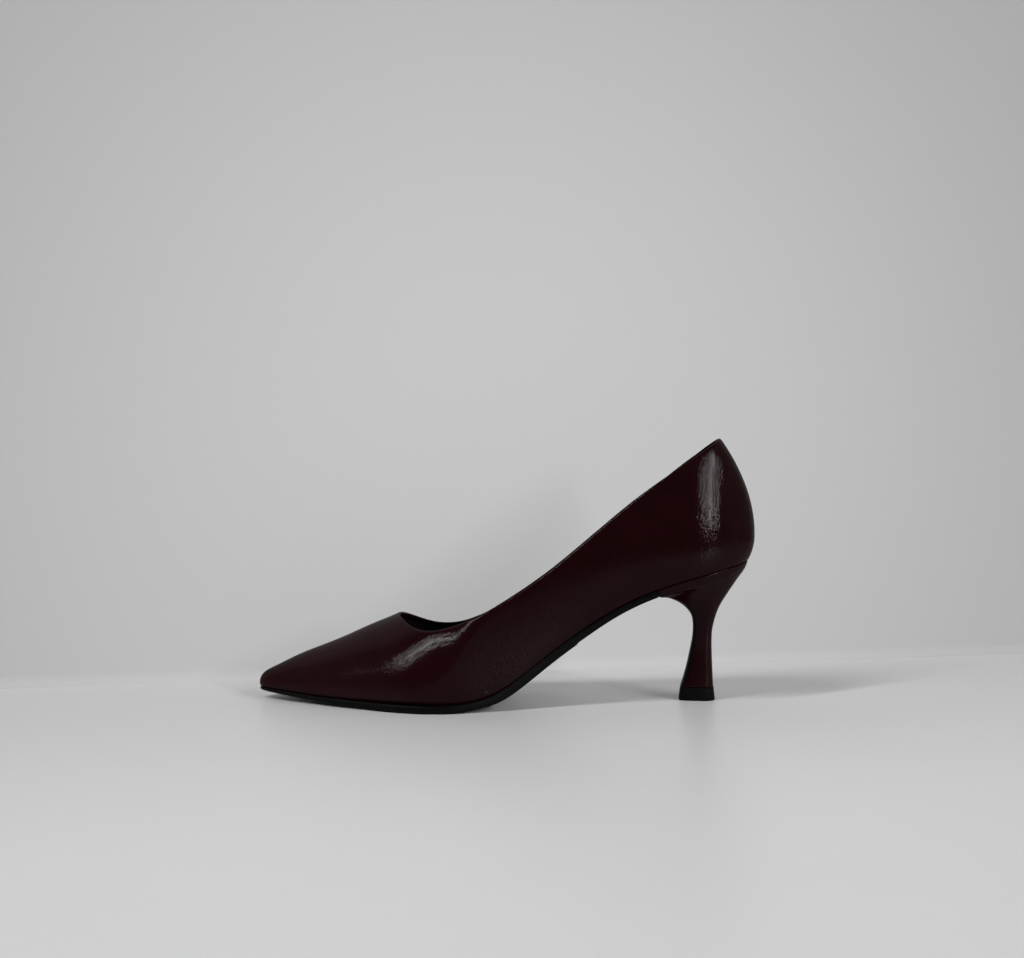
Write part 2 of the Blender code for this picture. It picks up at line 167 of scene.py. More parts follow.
SEAT = (
    (-126.4, 5.8, 1.6),
    (-116.0, 5.4, 1.8),
    (-95.0, 4.5, 2.2),
    (-70.0, 3.9, 3.1),
    (-45.0, 3.8, 3.8),
    (-26.0, 3.95, 3.95),
    (-14.0, 5.5, 4.0),
    (-4.0, 8.9, 4.9),
    (8.0, 16.5, 5.5),
    (20.0, 25.6, 5.5),
    (38.0, 38.3, 5.3),
    (56.0, 49.1, 4.6),
    (75.0, 57.5, 4.2),
    (98.0, 64.6, 4.0),
    (126.4, 71.7, 4.0),
)
TOPLINE_COLUMNS = ("x", "lateral", "medial")
TOPLINE = (
    (-54.7, 43.5, 43.5),
    (-48.0, 40.3, 40.1),
    (-41.0, 38.7, 37.4),
    (-32.0, 39.5, 35.9),
    (-22.0, 42.7, 36.9),
    (-8.0, 49.0, 42.4),
    (10.0, 59.8, 53.3),
    (34.0, 77.9, 71.9),
    (58.0, 97.8, 92.5),
    (82.0, 115.5, 111.1),
    (96.0, 124.6, 122.3),
    (112.0, 133.9, 134.35),
)


def column(rows, names, name):
    """One named column of a table."""
    return np.array([row[names.index(name)] for row in rows])


def smooth(keys, values, at):
    """A natural cubic spline through the points, straight beyond its ends.

    Second derivatives come from the usual three-diagonal set of equations, with none at the ends.
    """
    count = len(keys)
    step = np.diff(keys)
    rise = np.diff(values) / step
    middle = 2 * (step[:-1] + step[1:])
    matrix = np.eye(count)
    matrix[1:-1, 1:-1] = np.diag(middle) + np.diag(step[1:-1], 1) + np.diag(step[1:-1], -1)
    right = np.zeros(count)
    right[1:-1] = 6 * np.diff(rise)
    bend = np.linalg.solve(matrix, right)
    at = np.asarray(at, float)
    inside = np.clip(at, keys[0], keys[-1])
    i = np.clip(np.searchsorted(keys, inside) - 1, 0, count - 2)
    after = inside - keys[i]
    slope = rise[i] - step[i] * (2 * bend[i] + bend[i + 1]) / 6
    cubic = (bend[i + 1] - bend[i]) / (6 * step[i])
    value = values[i] + after * (slope + after * (bend[i] / 2 + after * cubic))
    end_slope = slope + after * (bend[i] + 3 * after * cubic)
    return value + (at - inside) * end_slope


def section(name, x):
    """A column of the sections at x, splined over the root of the distance behind the tip."""
    behind = column(SECTIONS, SECTION_COLUMNS, "behind_tip")
    values = column(SECTIONS, SECTION_COLUMNS, name)
    return smooth(np.sqrt(behind), values, np.sqrt(np.clip(x - TOE_X, 0, None)))


def seat(name, x):
    """A column of the seat table, feather height or sole thickness, at x."""
    return smooth(column(SEAT, SEAT_COLUMNS, "x"), column(SEAT, SEAT_COLUMNS, name), x)


print("Ball width in millimetres:", round(float(section("lateral", -34.0) + section("medial", -34.0)), 1))

# %% [markdown]
# The skin of the last is a function of two numbers. A turn says where round the shoe a rib stands:
# 0 at the toe tip, 1 at the back by the outer side, -1 at the back by the inner side. An angle says
# how far up the rib a point is: 0 at the widest line and a quarter turn at the ridge. Each section
# above the widest line is half an ellipse, and below it the wall is tucked in towards the feather
# as a parabola. Towards the heel the ribs lean forward with height, which gives the back curve.

# %% The skin of the last
TUCK_POWER = 2.3
CLOSE_FROM_X = 60.0
CLOSE_POWER = 3.4
BACK_LEAN = 0.00903
BACK_LEAN_POWER = 1.95
LEAN_FROM_X = 10.0
LEAN_FULL_X = 112.0
LEAN_ROUNDS = 40
QUARTER_TURN = np.pi / 2


def sided(turn, lateral, medial):
    """Chooses the outer side's value for turns above 0 and the inner side's below."""
    return np.where(turn >= 0, lateral, medial)


def turn_at(x):
    """The turn of a station on the outer side, by the arc cosine of its share of the length."""
    return np.arccos(np.clip(1 - 2 * (x - TOE_X) / LENGTH, -1, 1)) / np.pi


def widest_line(turn):
    """Plan position of the widest line: the table's width, closed at the back by a superellipse."""
    turn = (np.asarray(turn, float) + 1) % 2 - 1
    x = TOE_X + LENGTH * (1 - np.cos(np.pi * turn)) / 2
    closing = np.clip((x - CLOSE_FROM_X) / (BACK_X - CLOSE_FROM_X), 0, 1)
    width = sided(turn, -section("lateral", x), section("medial", x))
    width = width * np.sqrt(1 - closing**CLOSE_POWER)
    return np.stack([x, section("middle", x) + width], -1)


def unit(vectors):
    """Vectors at length 1."""
    return vectors / np.maximum(np.linalg.norm(vectors, axis=-1, keepdims=True), 1e-12)


def outward(turn):
    """Unit plan normal of the widest line, from the line just before and after."""
    reach = 1e-4
    along = widest_line(turn + reach) - widest_line(turn - reach)
    return unit(np.stack([along[..., 1], -along[..., 0]], -1))


def feather_line(turn, outset=0.0):
    """Plan position of the feather: the widest line moved in by the tuck, then out by outset."""
    line = widest_line(turn)
    tuck = sided(turn, section("tuck_lateral", line[..., 0]), section("tuck_medial", line[..., 0]))
    return line - outward(turn) * (tuck - outset)[..., None]


def widest_rise(turn, x):
    """Height of the widest line above the feather at x on the turn's side."""
    return sided(turn, section("rise_lateral", x), section("rise_medial", x))


def topline_height(turn, x):
    """Height of the topline at x on the turn's side."""
    keys = column(TOPLINE, TOPLINE_COLUMNS, "x")
    lateral = smooth(keys, column(TOPLINE, TOPLINE_COLUMNS, "lateral"), x)
    medial = smooth(keys, column(TOPLINE, TOPLINE_COLUMNS, "medial"), x)
    return sided(turn, lateral, medial)


def lean(x, above):
    """Forward shift of the wall: a power of the height above the widest line, eased in along x."""
    share = np.clip((x - LEAN_FROM_X) / (LEAN_FULL_X - LEAN_FROM_X), 0, 1)
    eased = share * share * (3 - 2 * share)
    return -BACK_LEAN * np.clip(above, 0, None)**BACK_LEAN_POWER * eased


def top_angle(turn):
    """Angle at which each rib ends: a quarter turn at the ridge, less where the topline cuts it."""
    x = widest_line(turn)[..., 0]
    rise = widest_rise(turn, x)
    widest_z = seat("feather", x) + rise
    top = topline_height(turn, x)
    for _ in range(LEAN_ROUNDS):
        top = topline_height(turn, x + lean(x, top - widest_z))
    share = np.clip((top - widest_z) / crown(turn, x), 0, 1)
    return np.where(x > VAMP_POINT_X, np.arcsin(share), QUARTER_TURN)


def crown(turn, x):
    """Height of the ridge above the widest line at x on the turn's side."""
    return np.maximum(section("ridge", x) - widest_rise(turn, x), SMALL)


def tuck(turn, down):
    """Outer face below the widest line. Down is 0 there and 1 at the feather, as a power curve."""
    turn, down = np.broadcast_arrays(np.asarray(turn, float), np.asarray(down, float))
    line = widest_line(turn)
    foot = feather_line(turn)
    low = line + (foot - line) * (down**TUCK_POWER)[..., None]
    widest_z = seat("feather", line[..., 0]) + widest_rise(turn, line[..., 0])
    low_z = widest_z + (seat("feather", foot[..., 0]) - widest_z) * down
    return np.stack([low[..., 0], low[..., 1] + HEEL_LINE_Y, low_z], -1)


def wall(turn, angle):
    """Outer face by angle: cosine of it across, sine of it up, then the lean.

    Angles below 0 go on down the tucked wall, to the same heights as the sine gives.
    """
    turn, angle = np.broadcast_arrays(np.asarray(turn, float), np.asarray(angle, float))
    line = widest_line(turn)
    x = line[..., 0]
    rise = widest_rise(turn, x)
    above = crown(turn, x) * np.sin(angle)
    middle = section("middle", x)
    high = np.stack([
        x + lean(x, above),
        middle + (line[..., 1] - middle) * np.cos(angle) + HEEL_LINE_Y,
        seat("feather", x) + rise + above,
    ], -1)
    low = tuck(turn, np.clip(-above / rise, 0, 1))
    return np.where((angle < 0)[..., None], low, high)


def wall_normal(turn, angle):
    """Unit outward normal of the wall, across the two small steps along turn and angle."""
    reach = 1e-4
    side = np.where(np.asarray(turn) >= 0, 1.0, -1.0)
    turn = side * np.clip(np.abs(turn), 0.004, 1 - 2e-3)
    angle = np.minimum(angle, QUARTER_TURN - 2e-4)
    along = wall(turn + reach, angle) - wall(turn - reach, angle)
    up = wall(turn, angle + reach) - wall(turn, angle - reach)
    return unit(np.cross(along, up))


heel_top = wall(np.array([1.0]), top_angle(np.array([1.0])))[0]
print("Top of the back in millimetres:", np.round(heel_top, 1))

# %% [markdown]
# The topline is the opening's edge. On the real shoe the leather is skived thin there, folded over
# a tape and turned inside, so the edge is a soft roll that pulls in towards the foot. A roll has to
# run along its edge, but the ribs meet the edge at all angles, and at the throat they run along it.
# So the strip next to the edge gets its own grid: its columns start at even steps along the topline
# and walk over the skin at right angles to it. The ribs below then start where the columns end, so
# that one welded sheet covers the whole upper.

# %% Topline and its columns
TOPLINE_SAMPLES = 3000
SIDE_COLUMNS = 270
STRIP_WIDTH = 6.0
STRIP_STEPS = 12


def topline_side(side):
    """Turn and angle of the topline on one side, from the back to the vamp, at even steps."""
    share = np.sin(QUARTER_TURN * np.linspace(0, 1, TOPLINE_SAMPLES)) ** 2
    x = BACK_X + (VAMP_POINT_X - BACK_X) * share
    turn = side * turn_at(x)
    angle = top_angle(turn)
    angle[-1] = QUARTER_TURN
    points = wall(turn, angle)
    length = np.concatenate([[0], np.cumsum(np.linalg.norm(np.diff(points, axis=0), axis=1))])
    even = np.linspace(0, length[-1], SIDE_COLUMNS + 1)
    return np.interp(even, length, turn), np.interp(even, length, angle), even


def walk_in(turn, angle, along, step):
    """Moves points over the wall by a step at right angles to the topline, away from it.

    The step is split into shares of the wall's two directions by solving two equations in two
    unknowns for all points at once.
    """
    reach = 1e-4
    side = np.sign(turn)
    held = side * np.clip(np.abs(turn), 0.01, 1 - 1e-3)
    by_turn = (wall(held + reach, angle) - wall(held - reach, angle)) / (2 * reach)
    by_angle = (wall(held, angle + reach) - wall(held, angle - reach)) / (2 * reach)
    normal = unit(np.cross(by_turn, by_angle))
    away = unit(np.cross(normal, along))
    aa = (by_turn**2).sum(-1)
    ab = (by_turn * by_angle).sum(-1)
    bb = (by_angle**2).sum(-1)
    ua = (by_turn * away).sum(-1)
    ub = (by_angle * away).sum(-1)
    scale = step / (aa * bb - ab * ab)
    return turn + (ua * bb - ub * ab) * scale, np.minimum(angle + (ub * aa - ua * ab) * scale, QUARTER_TURN)


def edge_lift(x):
    """Extra height of the strip's start: the rolled edge falls away below the sheet it came from."""
    keys = (-60.0, -30.0, -16.0, -6.0, 20.0, 42.0, 62.0, 80.0, 100.0, 112.0)
    return np.interp(x, keys, (0.45, 0.45, 0.6, 0.15, 0.0, 0.4, 0.4, 0.0, 0.0, 0.8))


def topline_strip():
    """Turns and angles of the strip's rows, from its lower edge up to the topline, all round."""
    lateral = topline_side(1)
    medial = topline_side(-1)
    turn = np.concatenate([lateral[0], medial[0][-2:0:-1]])
    angle = np.concatenate([lateral[1], medial[1][-2:0:-1]])
    edge = wall(turn, angle)
    along = unit(np.roll(edge, -1, axis=0) - np.roll(edge, 1, axis=0))
    turn, angle = walk_in(turn, angle, along, -edge_lift(edge[:, 0]))
    angle[SIDE_COLUMNS] = QUARTER_TURN
    turn[0] = 1.0
    rows = [(turn, angle)]
    for _ in range(STRIP_STEPS):
        turn, angle = walk_in(turn, angle, along, STRIP_WIDTH / STRIP_STEPS)
        turn[0] = 1.0
        turn[SIDE_COLUMNS] = np.abs(turn[SIDE_COLUMNS])
        angle[SIDE_COLUMNS] = QUARTER_TURN
        rows.append((turn, angle))
    turns = np.stack([row[0] for row in rows[::-1]])
    angles = np.stack([row[1] for row in rows[::-1]])
    return turns, angles


strip_turn, strip_angle = topline_strip()
edge_line = wall(strip_turn[-1], strip_angle[-1])
print("Topline columns:", len(edge_line), "lowest row starts at", np.round(strip_turn[0, SIDE_COLUMNS], 3))

# %% [markdown]
# The upper is one closed sheet of leather: the outer face from the feather up to the topline, the
# rolled edge, a narrow turned band inside, and the inner face down to the feather again. Every
# point of it is a place on the skin plus a depth into the leather, so one function serves them all.
# The roll pulls the edge in towards the foot along the sides, but hardly at the throat.

# %% The upper's profile at the topline
FOLD_PLACE = 1.0
FOLD_SLOPE = 1.2
FOLD_SOFTNESS = 0.8
CURL_SHARE = ((-52.0, -38.0, 45.0, 75.0, 112.0), (0.0, 1.0, 1.0, 0.45, 0.2))
EDGE_RADIUS = 0.75
EDGE_STEPS = 8
OUTER_STRIP = (5.2, 4.4, 3.7, 3.1, 2.7, 2.35, 2.05, 1.8, 1.6, 1.4, 1.25, 1.1, 0.97, 0.85)
BAND_LENGTH = 2.9
BAND_STEPS = 5
INNER_DEPTH = 1.1
INNER_STEPS = 14
TUCK_STEPS = 26
WALL_STEPS = 54
GROOVE_HEIGHT = 0.8
GROOVE_BY_X = ((-100.0, 0.0, 60.0), (0.15, 0.3, 0.45))
MEETING_ROOM = 4.0
MEETING_SOFTNESS = 2.0
FRONT_COLUMNS = 84


def eased(value, low, high):
    """0 below low, 1 above high, and a soft S curve between them."""
    share = np.clip((value - low) / (high - low), 0, 1)
    return share * share * (3 - 2 * share)


def curl(distance, x):
    """How far the leather pulls in at a distance below the topline.

    The folded edge leans in like a flap on a soft hinge: none below the hinge, a straight slope
    above it, and a hyperbola between them.
    """
    above = FOLD_PLACE - distance
    lean_in = (above + np.sqrt(above**2 + FOLD_SOFTNESS**2)) / 2
    rest = (FOLD_PLACE - STRIP_WIDTH + np.sqrt((FOLD_PLACE - STRIP_WIDTH)**2 + FOLD_SOFTNESS**2)) / 2
    return FOLD_SLOPE * (lean_in - rest) * np.interp(x, *CURL_SHARE)


def side_columns(values, side):
    """The strip's columns of one side, from the back to the vamp."""
    if side > 0:
        return values[..., :SIDE_COLUMNS + 1]
    return np.concatenate([values[..., :1], values[..., :SIDE_COLUMNS - 1:-1]], -1)


def strip_place(distance, side):
    """Turn and angle of one side's columns at a distance below the topline."""
    row = (STRIP_WIDTH - distance) / STRIP_WIDTH * STRIP_STEPS
    low = int(np.clip(np.floor(row), 0, STRIP_STEPS - 1))
    share = row - low
    turn = side * np.abs(side_columns(strip_turn, side))
    angle = side_columns(strip_angle, side)
    turn = turn[low] * (1 - share) + turn[low + 1] * share
    return turn, angle[low] * (1 - share) + angle[low + 1] * share


def surface_normal(turn, angle):
    """The wall's normal, straightened at the toe tip and in the line of the back.

    Below the widest line it is kept level, so that the leather keeps its thickness at the feather.
    """
    turn, angle = np.broadcast_arrays(np.asarray(turn, float), np.asarray(angle, float))
    normal = wall_normal(turn, angle)
    tip = (np.abs(turn) < SMALL)[..., None]
    back = (np.abs(turn) > 1 - SMALL)[..., None]
    normal = np.where(tip, np.array([-1.0, 0.0, 0.0]), normal)
    normal = np.where((angle < 0)[..., None], normal * np.array([1.0, 1.0, 0.0]), normal)
    return unit(np.where(back, normal * np.array([1.0, 0.0, 1.0]), normal))


# %% [markdown]
# Leather that has been pulled over a last is never quite even. A short table places the soft dents
# and ridges that show in the reflections: where each one lies, how far it reaches along and across
# its direction, which way it runs and how deep it is.

# %% Soft dents and ridges
DENT_COLUMNS = ("x", "z", "side", "along", "across", "tilt", "depth")
DENTS = (
    (44.0, 77.5, 1, 9.0, 2.6, 40.0, 0.05),
    (54.0, 84.5, 1, 8.0, 2.4, 42.0, -0.04),
    (71.0, 85.5, 1, 1.2, 1.0, 0.0, 0.12),
    (-61.0, 7.0, 1, 1.6, 0.9, 10.0, 0.10),
    (-56.0, 8.5, 1, 1.2, 0.8, 0.0, 0.08),
    (40.0, 74.5, -1, 9.0, 3.0, 40.0, 0.05),
)


def dents(points, side):
    """Depth of all dents at the points: one bell curve each, stretched along its own direction."""
    depth = np.zeros(points.shape[:-1])
    for row in DENTS:
        dent = dict(zip(DENT_COLUMNS, row))
        if dent["side"] != side:
            continue
        tilt = np.radians(dent["tilt"])
        x = points[..., 0] - dent["x"]
        z = points[..., 2] - dent["z"]
        along = (x * np.cos(tilt) + z * np.sin(tilt)) / dent["along"]
        across = (z * np.cos(tilt) - x * np.sin(tilt)) / dent["across"]
        depth += dent["depth"] * np.exp(-(along**2 + across**2))
    return depth


# %% [markdown]
# Now the rows of the upper are laid one after another, from the feather up the outside, over the
# rolled edge and down the inside. The forepart has no topline, so its ribs end on the ridge, and
# both sides are welded there.

# %% The leather upper


def wall_row(turn, angle, depth, side, dented=False):
    """One row on the wall at a depth in the leather, with the dents if it is an outer row."""
    points = wall(turn, angle)
    if dented:
        depth = depth + dents(points, side)
    return points - surface_normal(turn, angle) * np.broadcast_to(depth, turn.shape)[..., None]


def strip_row(distance, extra, side, dented=False):
    """One row of the strip at a distance below the topline, with the curl and an extra depth."""
    turn, angle = strip_place(distance, side)
    points = wall(turn, angle)
    depth = curl(distance, points[..., 0]) + extra
    if dented:
        depth = depth + dents(points, side)
    return points - surface_normal(turn, angle) * depth[..., None]


def side_turn(side):
    """Turn and top angle of one side's ribs, from the back to the vamp."""
    return strip_place(STRIP_WIDTH, side)


def front_turn(side):
    """Turns of the forepart's ribs on one side, from the vamp to the toe tip."""
    first = side_turn(side)[0][-1]
    return first * np.linspace(1, 0, FRONT_COLUMNS + 1)


def lower_rows(turn, angle, depth, side, tucks, walls, dented=False):
    """Rows from the feather up to the end of the ribs.

    Two sets of rows meet a little below the widest line, or further below it where the ribs end
    near that line. Above the meeting they are even in angle, and below it even in height.
    """
    x = widest_line(turn)[:, 0]
    rise = widest_rise(turn, x)
    ridge = crown(turn, x)
    spare = ridge * np.sin(angle) - MEETING_ROOM
    meeting = (spare - np.sqrt(spare**2 + MEETING_SOFTNESS**2)) / 2
    meeting = np.maximum(meeting, -0.6 * np.minimum(rise, ridge))
    start = np.arcsin(meeting / ridge)
    rows = []
    normal = surface_normal(turn, np.full_like(turn, -0.01))
    shares = np.concatenate([[0.0, 0.25, 0.55], np.linspace(1, tucks, tucks)[:-1]])
    for step in shares:
        over = np.minimum(step, 1.0) * np.minimum(GROOVE_HEIGHT, 0.3 * rise)
        height = -rise + over + (rise + meeting - over) * max(step - 1, 0) / (tucks - 1)
        points = tuck(turn, -height / rise)
        inward = depth + dents(points, side) * (step / tucks) if dented else depth
        groove = np.interp(x, *GROOVE_BY_X) if dented else 0.0
        inward = inward + groove * max(1 - step, 0) ** 2
        rows.append(points - normal * np.broadcast_to(inward, turn.shape)[..., None])
    for share in np.linspace(0, 1, walls + 1):
        rows.append(wall_row(turn, start + (angle - start) * share, depth, side, dented))
    return rows


def upper_grids(side):
    """The grids of one side of the upper: body, forepart outside, forepart inside and its foot."""
    turn, angle = side_turn(side)
    rows = lower_rows(turn, angle, 0.0, side, TUCK_STEPS, WALL_STEPS, True)
    for distance in OUTER_STRIP:
        rows.append(strip_row(distance, 0.0, side, True))
    for bend in np.linspace(0, np.pi, EDGE_STEPS + 1):
        rows.append(strip_row(EDGE_RADIUS * (1 - np.sin(bend)), EDGE_RADIUS * (1 - np.cos(bend)), side))
    for distance in np.linspace(EDGE_RADIUS, BAND_LENGTH, BAND_STEPS + 1)[1:]:
        rows.append(strip_row(distance, 2 * EDGE_RADIUS, side))
    rows.append(strip_row(BAND_LENGTH + 0.25, 2 * EDGE_RADIUS - 0.12, side))
    rows.append(strip_row(BAND_LENGTH + 0.3, INNER_DEPTH, side))
    rows.append(strip_row(STRIP_WIDTH - 1, INNER_DEPTH, side))
    inner = lower_rows(turn, angle, INNER_DEPTH, side, INNER_STEPS // 2, INNER_STEPS)
    rows += inner[::-1]
    rows.append(rows[0])
    front = front_turn(side)
    ridge = np.full_like(front, QUARTER_TURN)
    outside = lower_rows(front, ridge, 0.0, side, TUCK_STEPS, WALL_STEPS, True)
    inside = lower_rows(front, ridge, INNER_DEPTH, side, INNER_STEPS // 2, INNER_STEPS)
    foot = [outside[0], inside[0]]
    return [(np.stack(grid), False) for grid in (rows, outside, inside, foot)]


def plain_material(name, colour, roughness, specular=0.5):
    """A Principled material and its shader node."""
    material = bpy.data.materials.new(name)
    material.use_nodes = True
    shader = material.node_tree.nodes["Principled BSDF"]
    shader.inputs["Base Color"].default_value = (*colour, 1)
    shader.inputs["Roughness"].default_value = roughness
    shader.inputs["Specular IOR Level"].default_value = specular
    return material, shader


# %% [markdown]
# The leather is smooth calf with a fine pressed grain, dyed burgundy and finished with a thin clear
# gloss. Two things make it: a very dark red body colour, and a weak coat whose fine bumps break
# every highlight into specks. The body colour also carries painted light: it is made paler towards
# the toe. Upper and heel cover share the grain, so it is one node group.

# %% Leather finish
LEATHER_COLOUR = (0.0100, 0.0019, 0.0025)
LEATHER_ROUGHNESS = 0.5
LEATHER_SPECULAR = 0.0
COAT_WEIGHT = 0.17
COAT_ROUGHNESS = 0.07
PLATEAU = 0.38
# Painted light: the leather colour is made paler towards the toe, between these two x places in metres.
PAINTED_LIGHT_FROM_X = -0.11
PAINTED_LIGHT_TO_X = 0.0
TOE_PAINTED_LIGHT = 1.35


def group_socket(group, label, kind, direction, value=None):
    """A named input or output of a node group."""
    socket = group.interface.new_socket(name=label, in_out=direction, socket_type=kind)
    if value is not None:
        socket.default_value = value
    return socket


def node(tree, kind, **inputs):
    """A node with some of its inputs set. Inputs that are sockets are linked."""
    item = tree.nodes.new(kind)
    for label, value in inputs.items():
        socket = item.inputs[label.replace("_", " ")]
        if isinstance(value, bpy.types.NodeSocket):
            tree.links.new(value, socket)
        else:
            socket.default_value = value
    return item


def maths(tree, operation, first, second=None, third=None):
    """A maths node on up to three values or sockets, and its output."""
    item = tree.nodes.new("ShaderNodeMath")
    item.operation = operation
    for index, value in enumerate((first, second, third)):
        if value is None:
            continue
        if isinstance(value, bpy.types.NodeSocket):
            tree.links.new(value, item.inputs[index])
        else:
            item.inputs[index].default_value = value
    return item.outputs[0]


def noise(tree, place, scale, detail=2.0, rough=0.5):
    """A noise texture's value at a scale per metre."""
    item = node(tree, "ShaderNodeTexNoise", Vector=place, Scale=scale, Detail=detail, Roughness=rough)
    return item.outputs["Fac"]


def build_grain():
    """The leather's relief and colour variation: pressed pebbles, fine pores, slow waves and painted light that makes
    the toe paler.
    """
    group = bpy.data.node_groups.new("leather_grain", "ShaderNodeTree")
    group_socket(group, "Place", "NodeSocketVector", "INPUT")
    group_socket(group, "Pebbles per metre", "NodeSocketFloat", "INPUT", 1250.0)
    group_socket(group, "Colour", "NodeSocketColor", "INPUT", (0.02, 0.003, 0.004, 1.0))
    group_socket(group, "Height", "NodeSocketFloat", "OUTPUT")
    group_socket(group, "Shade", "NodeSocketColor", "OUTPUT")
    source = group.nodes.new("NodeGroupInput")
    target = group.nodes.new("NodeGroupOutput")
    place = source.outputs["Place"]
    cells = node(group, "ShaderNodeTexVoronoi", Vector=place, Scale=source.outputs["Pebbles per metre"])
    pores = noise(group, place, 3600.0, 1.0)
    waves = noise(group, place, 260.0, 2.0, 0.55)
    slow = noise(group, place, 60.0, 2.0)
    valley = maths(group, "SUBTRACT", cells.outputs["Distance"], PLATEAU)
    valley = maths(group, "MAXIMUM", valley, 0.0)
    height = maths(group, "MULTIPLY", valley, -1.0)
    height = maths(group, "MULTIPLY_ADD", pores, 0.10, height)
    height = maths(group, "MULTIPLY_ADD", waves, 0.8, height)
    group.links.new(height, target.inputs["Height"])
    tone = maths(group, "MULTIPLY_ADD", slow, 0.5, 0.75)
    tone = maths(group, "MULTIPLY_ADD", waves, 0.16, tone)
    # Painted light: the colour grows paler towards the toe, where more light falls on the forepart.
    parts = node(group, "ShaderNodeSeparateXYZ", Vector=place)
    toe_painted_light = node(group, "ShaderNodeMapRange", Value=parts.outputs["X"])
    toe_painted_light.interpolation_type = "SMOOTHSTEP"
    toe_painted_light.inputs["From Min"].default_value = PAINTED_LIGHT_FROM_X
    toe_painted_light.inputs["From Max"].default_value = PAINTED_LIGHT_TO_X
    toe_painted_light.inputs["To Min"].default_value = TOE_PAINTED_LIGHT
    toe_painted_light.inputs["To Max"].default_value = 1.0
    tone = maths(group, "MULTIPLY", tone, toe_painted_light.outputs["Result"])
    shade = group.nodes.new("ShaderNodeVectorMath")
    shade.operation = "SCALE"
    group.links.new(source.outputs["Colour"], shade.inputs[0])
    group.links.new(tone, shade.inputs["Scale"])
    group.links.new(shade.outputs["Vector"], target.inputs["Shade"])
    return group


grain_group = build_grain()


def leather_material(name, pebbles, relief):
    """Leather from the shared grain, with its own grain size and depth of relief in metres."""
    material, shader = plain_material(name, LEATHER_COLOUR, LEATHER_ROUGHNESS, LEATHER_SPECULAR)
    shader.inputs["Coat Weight"].default_value = COAT_WEIGHT
    shader.inputs["Coat Roughness"].default_value = COAT_ROUGHNESS
    tree = material.node_tree
    place = tree.nodes.new("ShaderNodeTexCoord").outputs["Object"]
    grain = tree.nodes.new("ShaderNodeGroup")
    grain.node_tree = grain_group
    grain.inputs["Pebbles per metre"].default_value = pebbles
    grain.inputs["Colour"].default_value = (*LEATHER_COLOUR, 1)
    tree.links.new(place, grain.inputs["Place"])
    tree.links.new(grain.outputs["Shade"], shader.inputs["Base Color"])
    bump = node(tree, "ShaderNodeBump", Strength=1.0, Distance=relief, Height=grain.outputs["Height"])
    tree.links.new(bump.outputs["Normal"], shader.inputs["Normal"])
    tree.links.new(bump.outputs["Normal"], shader.inputs["Coat Normal"])
    return material


LEATHER_RELIEF = 0.00007
leather = leather_material("burgundy_leather", 1250.0, LEATHER_RELIEF)
upper = make_piece(
    "upper_leather",
    upper_grids(1) + upper_grids(-1),
    leather,
    replaces=("upper",),
)

# %% [markdown]
# The other surfaces are plainer, but none is perfectly even. Lining, sock, board, sole, rubber and
# paper share one group of fine specks and slow patches, each with its own speck size.

# %% Fine surfaces
PATCHES_PER_METRE = 45.0
SPECK_TONE = 0.3


def build_fine_surface():
    """Fine relief from specks, and a colour made uneven by slow patches and by the same specks."""
    group = bpy.data.node_groups.new("fine_surface", "ShaderNodeTree")
    group_socket(group, "Place", "NodeSocketVector", "INPUT")
    group_socket(group, "Specks per metre", "NodeSocketFloat", "INPUT", 2000.0)
    group_socket(group, "Unevenness", "NodeSocketFloat", "INPUT", 0.2)
    group_socket(group, "Colour", "NodeSocketColor", "INPUT", (0.01, 0.01, 0.01, 1.0))
    group_socket(group, "Height", "NodeSocketFloat", "OUTPUT")
    group_socket(group, "Shade", "NodeSocketColor", "OUTPUT")
    source = group.nodes.new("NodeGroupInput")
    target = group.nodes.new("NodeGroupOutput")
    place = source.outputs["Place"]
    specks = noise(group, place, source.outputs["Specks per metre"], 3.0, 0.6)
    patches = noise(group, place, PATCHES_PER_METRE, 3.0)
    group.links.new(specks, target.inputs["Height"])
    uneven = maths(group, "MULTIPLY_ADD", specks, SPECK_TONE, patches)
    uneven = maths(group, "SUBTRACT", uneven, 0.5 + 0.5 * SPECK_TONE)
    tone = maths(group, "MULTIPLY_ADD", uneven, source.outputs["Unevenness"], 1.0)
    shade = group.nodes.new("ShaderNodeVectorMath")
    shade.operation = "SCALE"
    group.links.new(source.outputs["Colour"], shade.inputs[0])
    group.links.new(tone, shade.inputs["Scale"])
    group.links.new(shade.outputs["Vector"], target.inputs["Shade"])
    return group


fine_group = build_fine_surface()


def add_fine_surface(material, shader, colour, specks, relief, uneven):
    """The shared specks on a material: its colour, or a socket with it, and relief in metres."""
    tree = material.node_tree
    fine = tree.nodes.new("ShaderNodeGroup")
    fine.node_tree = fine_group
    fine.inputs["Specks per metre"].default_value = specks
    fine.inputs["Unevenness"].default_value = uneven
    tree.links.new(tree.nodes.new("ShaderNodeTexCoord").outputs["Object"], fine.inputs["Place"])
    if isinstance(colour, bpy.types.NodeSocket):
        tree.links.new(colour, fine.inputs["Colour"])
    else:
        fine.inputs["Colour"].default_value = (*colour, 1)
    tree.links.new(fine.outputs["Shade"], shader.inputs["Base Color"])
    bump = node(tree, "ShaderNodeBump", Strength=1.0, Distance=relief, Height=fine.outputs["Height"])
    tree.links.new(bump.outputs["Normal"], shader.inputs["Normal"])


def fine_material(name, colour, roughness, specular, specks, relief, uneven=0.3):
    """A plain material with the shared fine surface on it."""
    material, shader = plain_material(name, colour, roughness, specular)
    add_fine_surface(material, shader, colour, specks, relief, uneven)
    return material


# %% [markdown]
# The lining is a thin black sheet behind the leather. Its top edge is tucked under the turned band,
# and it runs down to the sock. It is a closed sheet with a back of its own, like the real one.

# %% Lining
LINING_DEPTH = 1.42
LINING_BACK = 1.15
LINING_TOP = 2.2
LINING_STEPS = 22


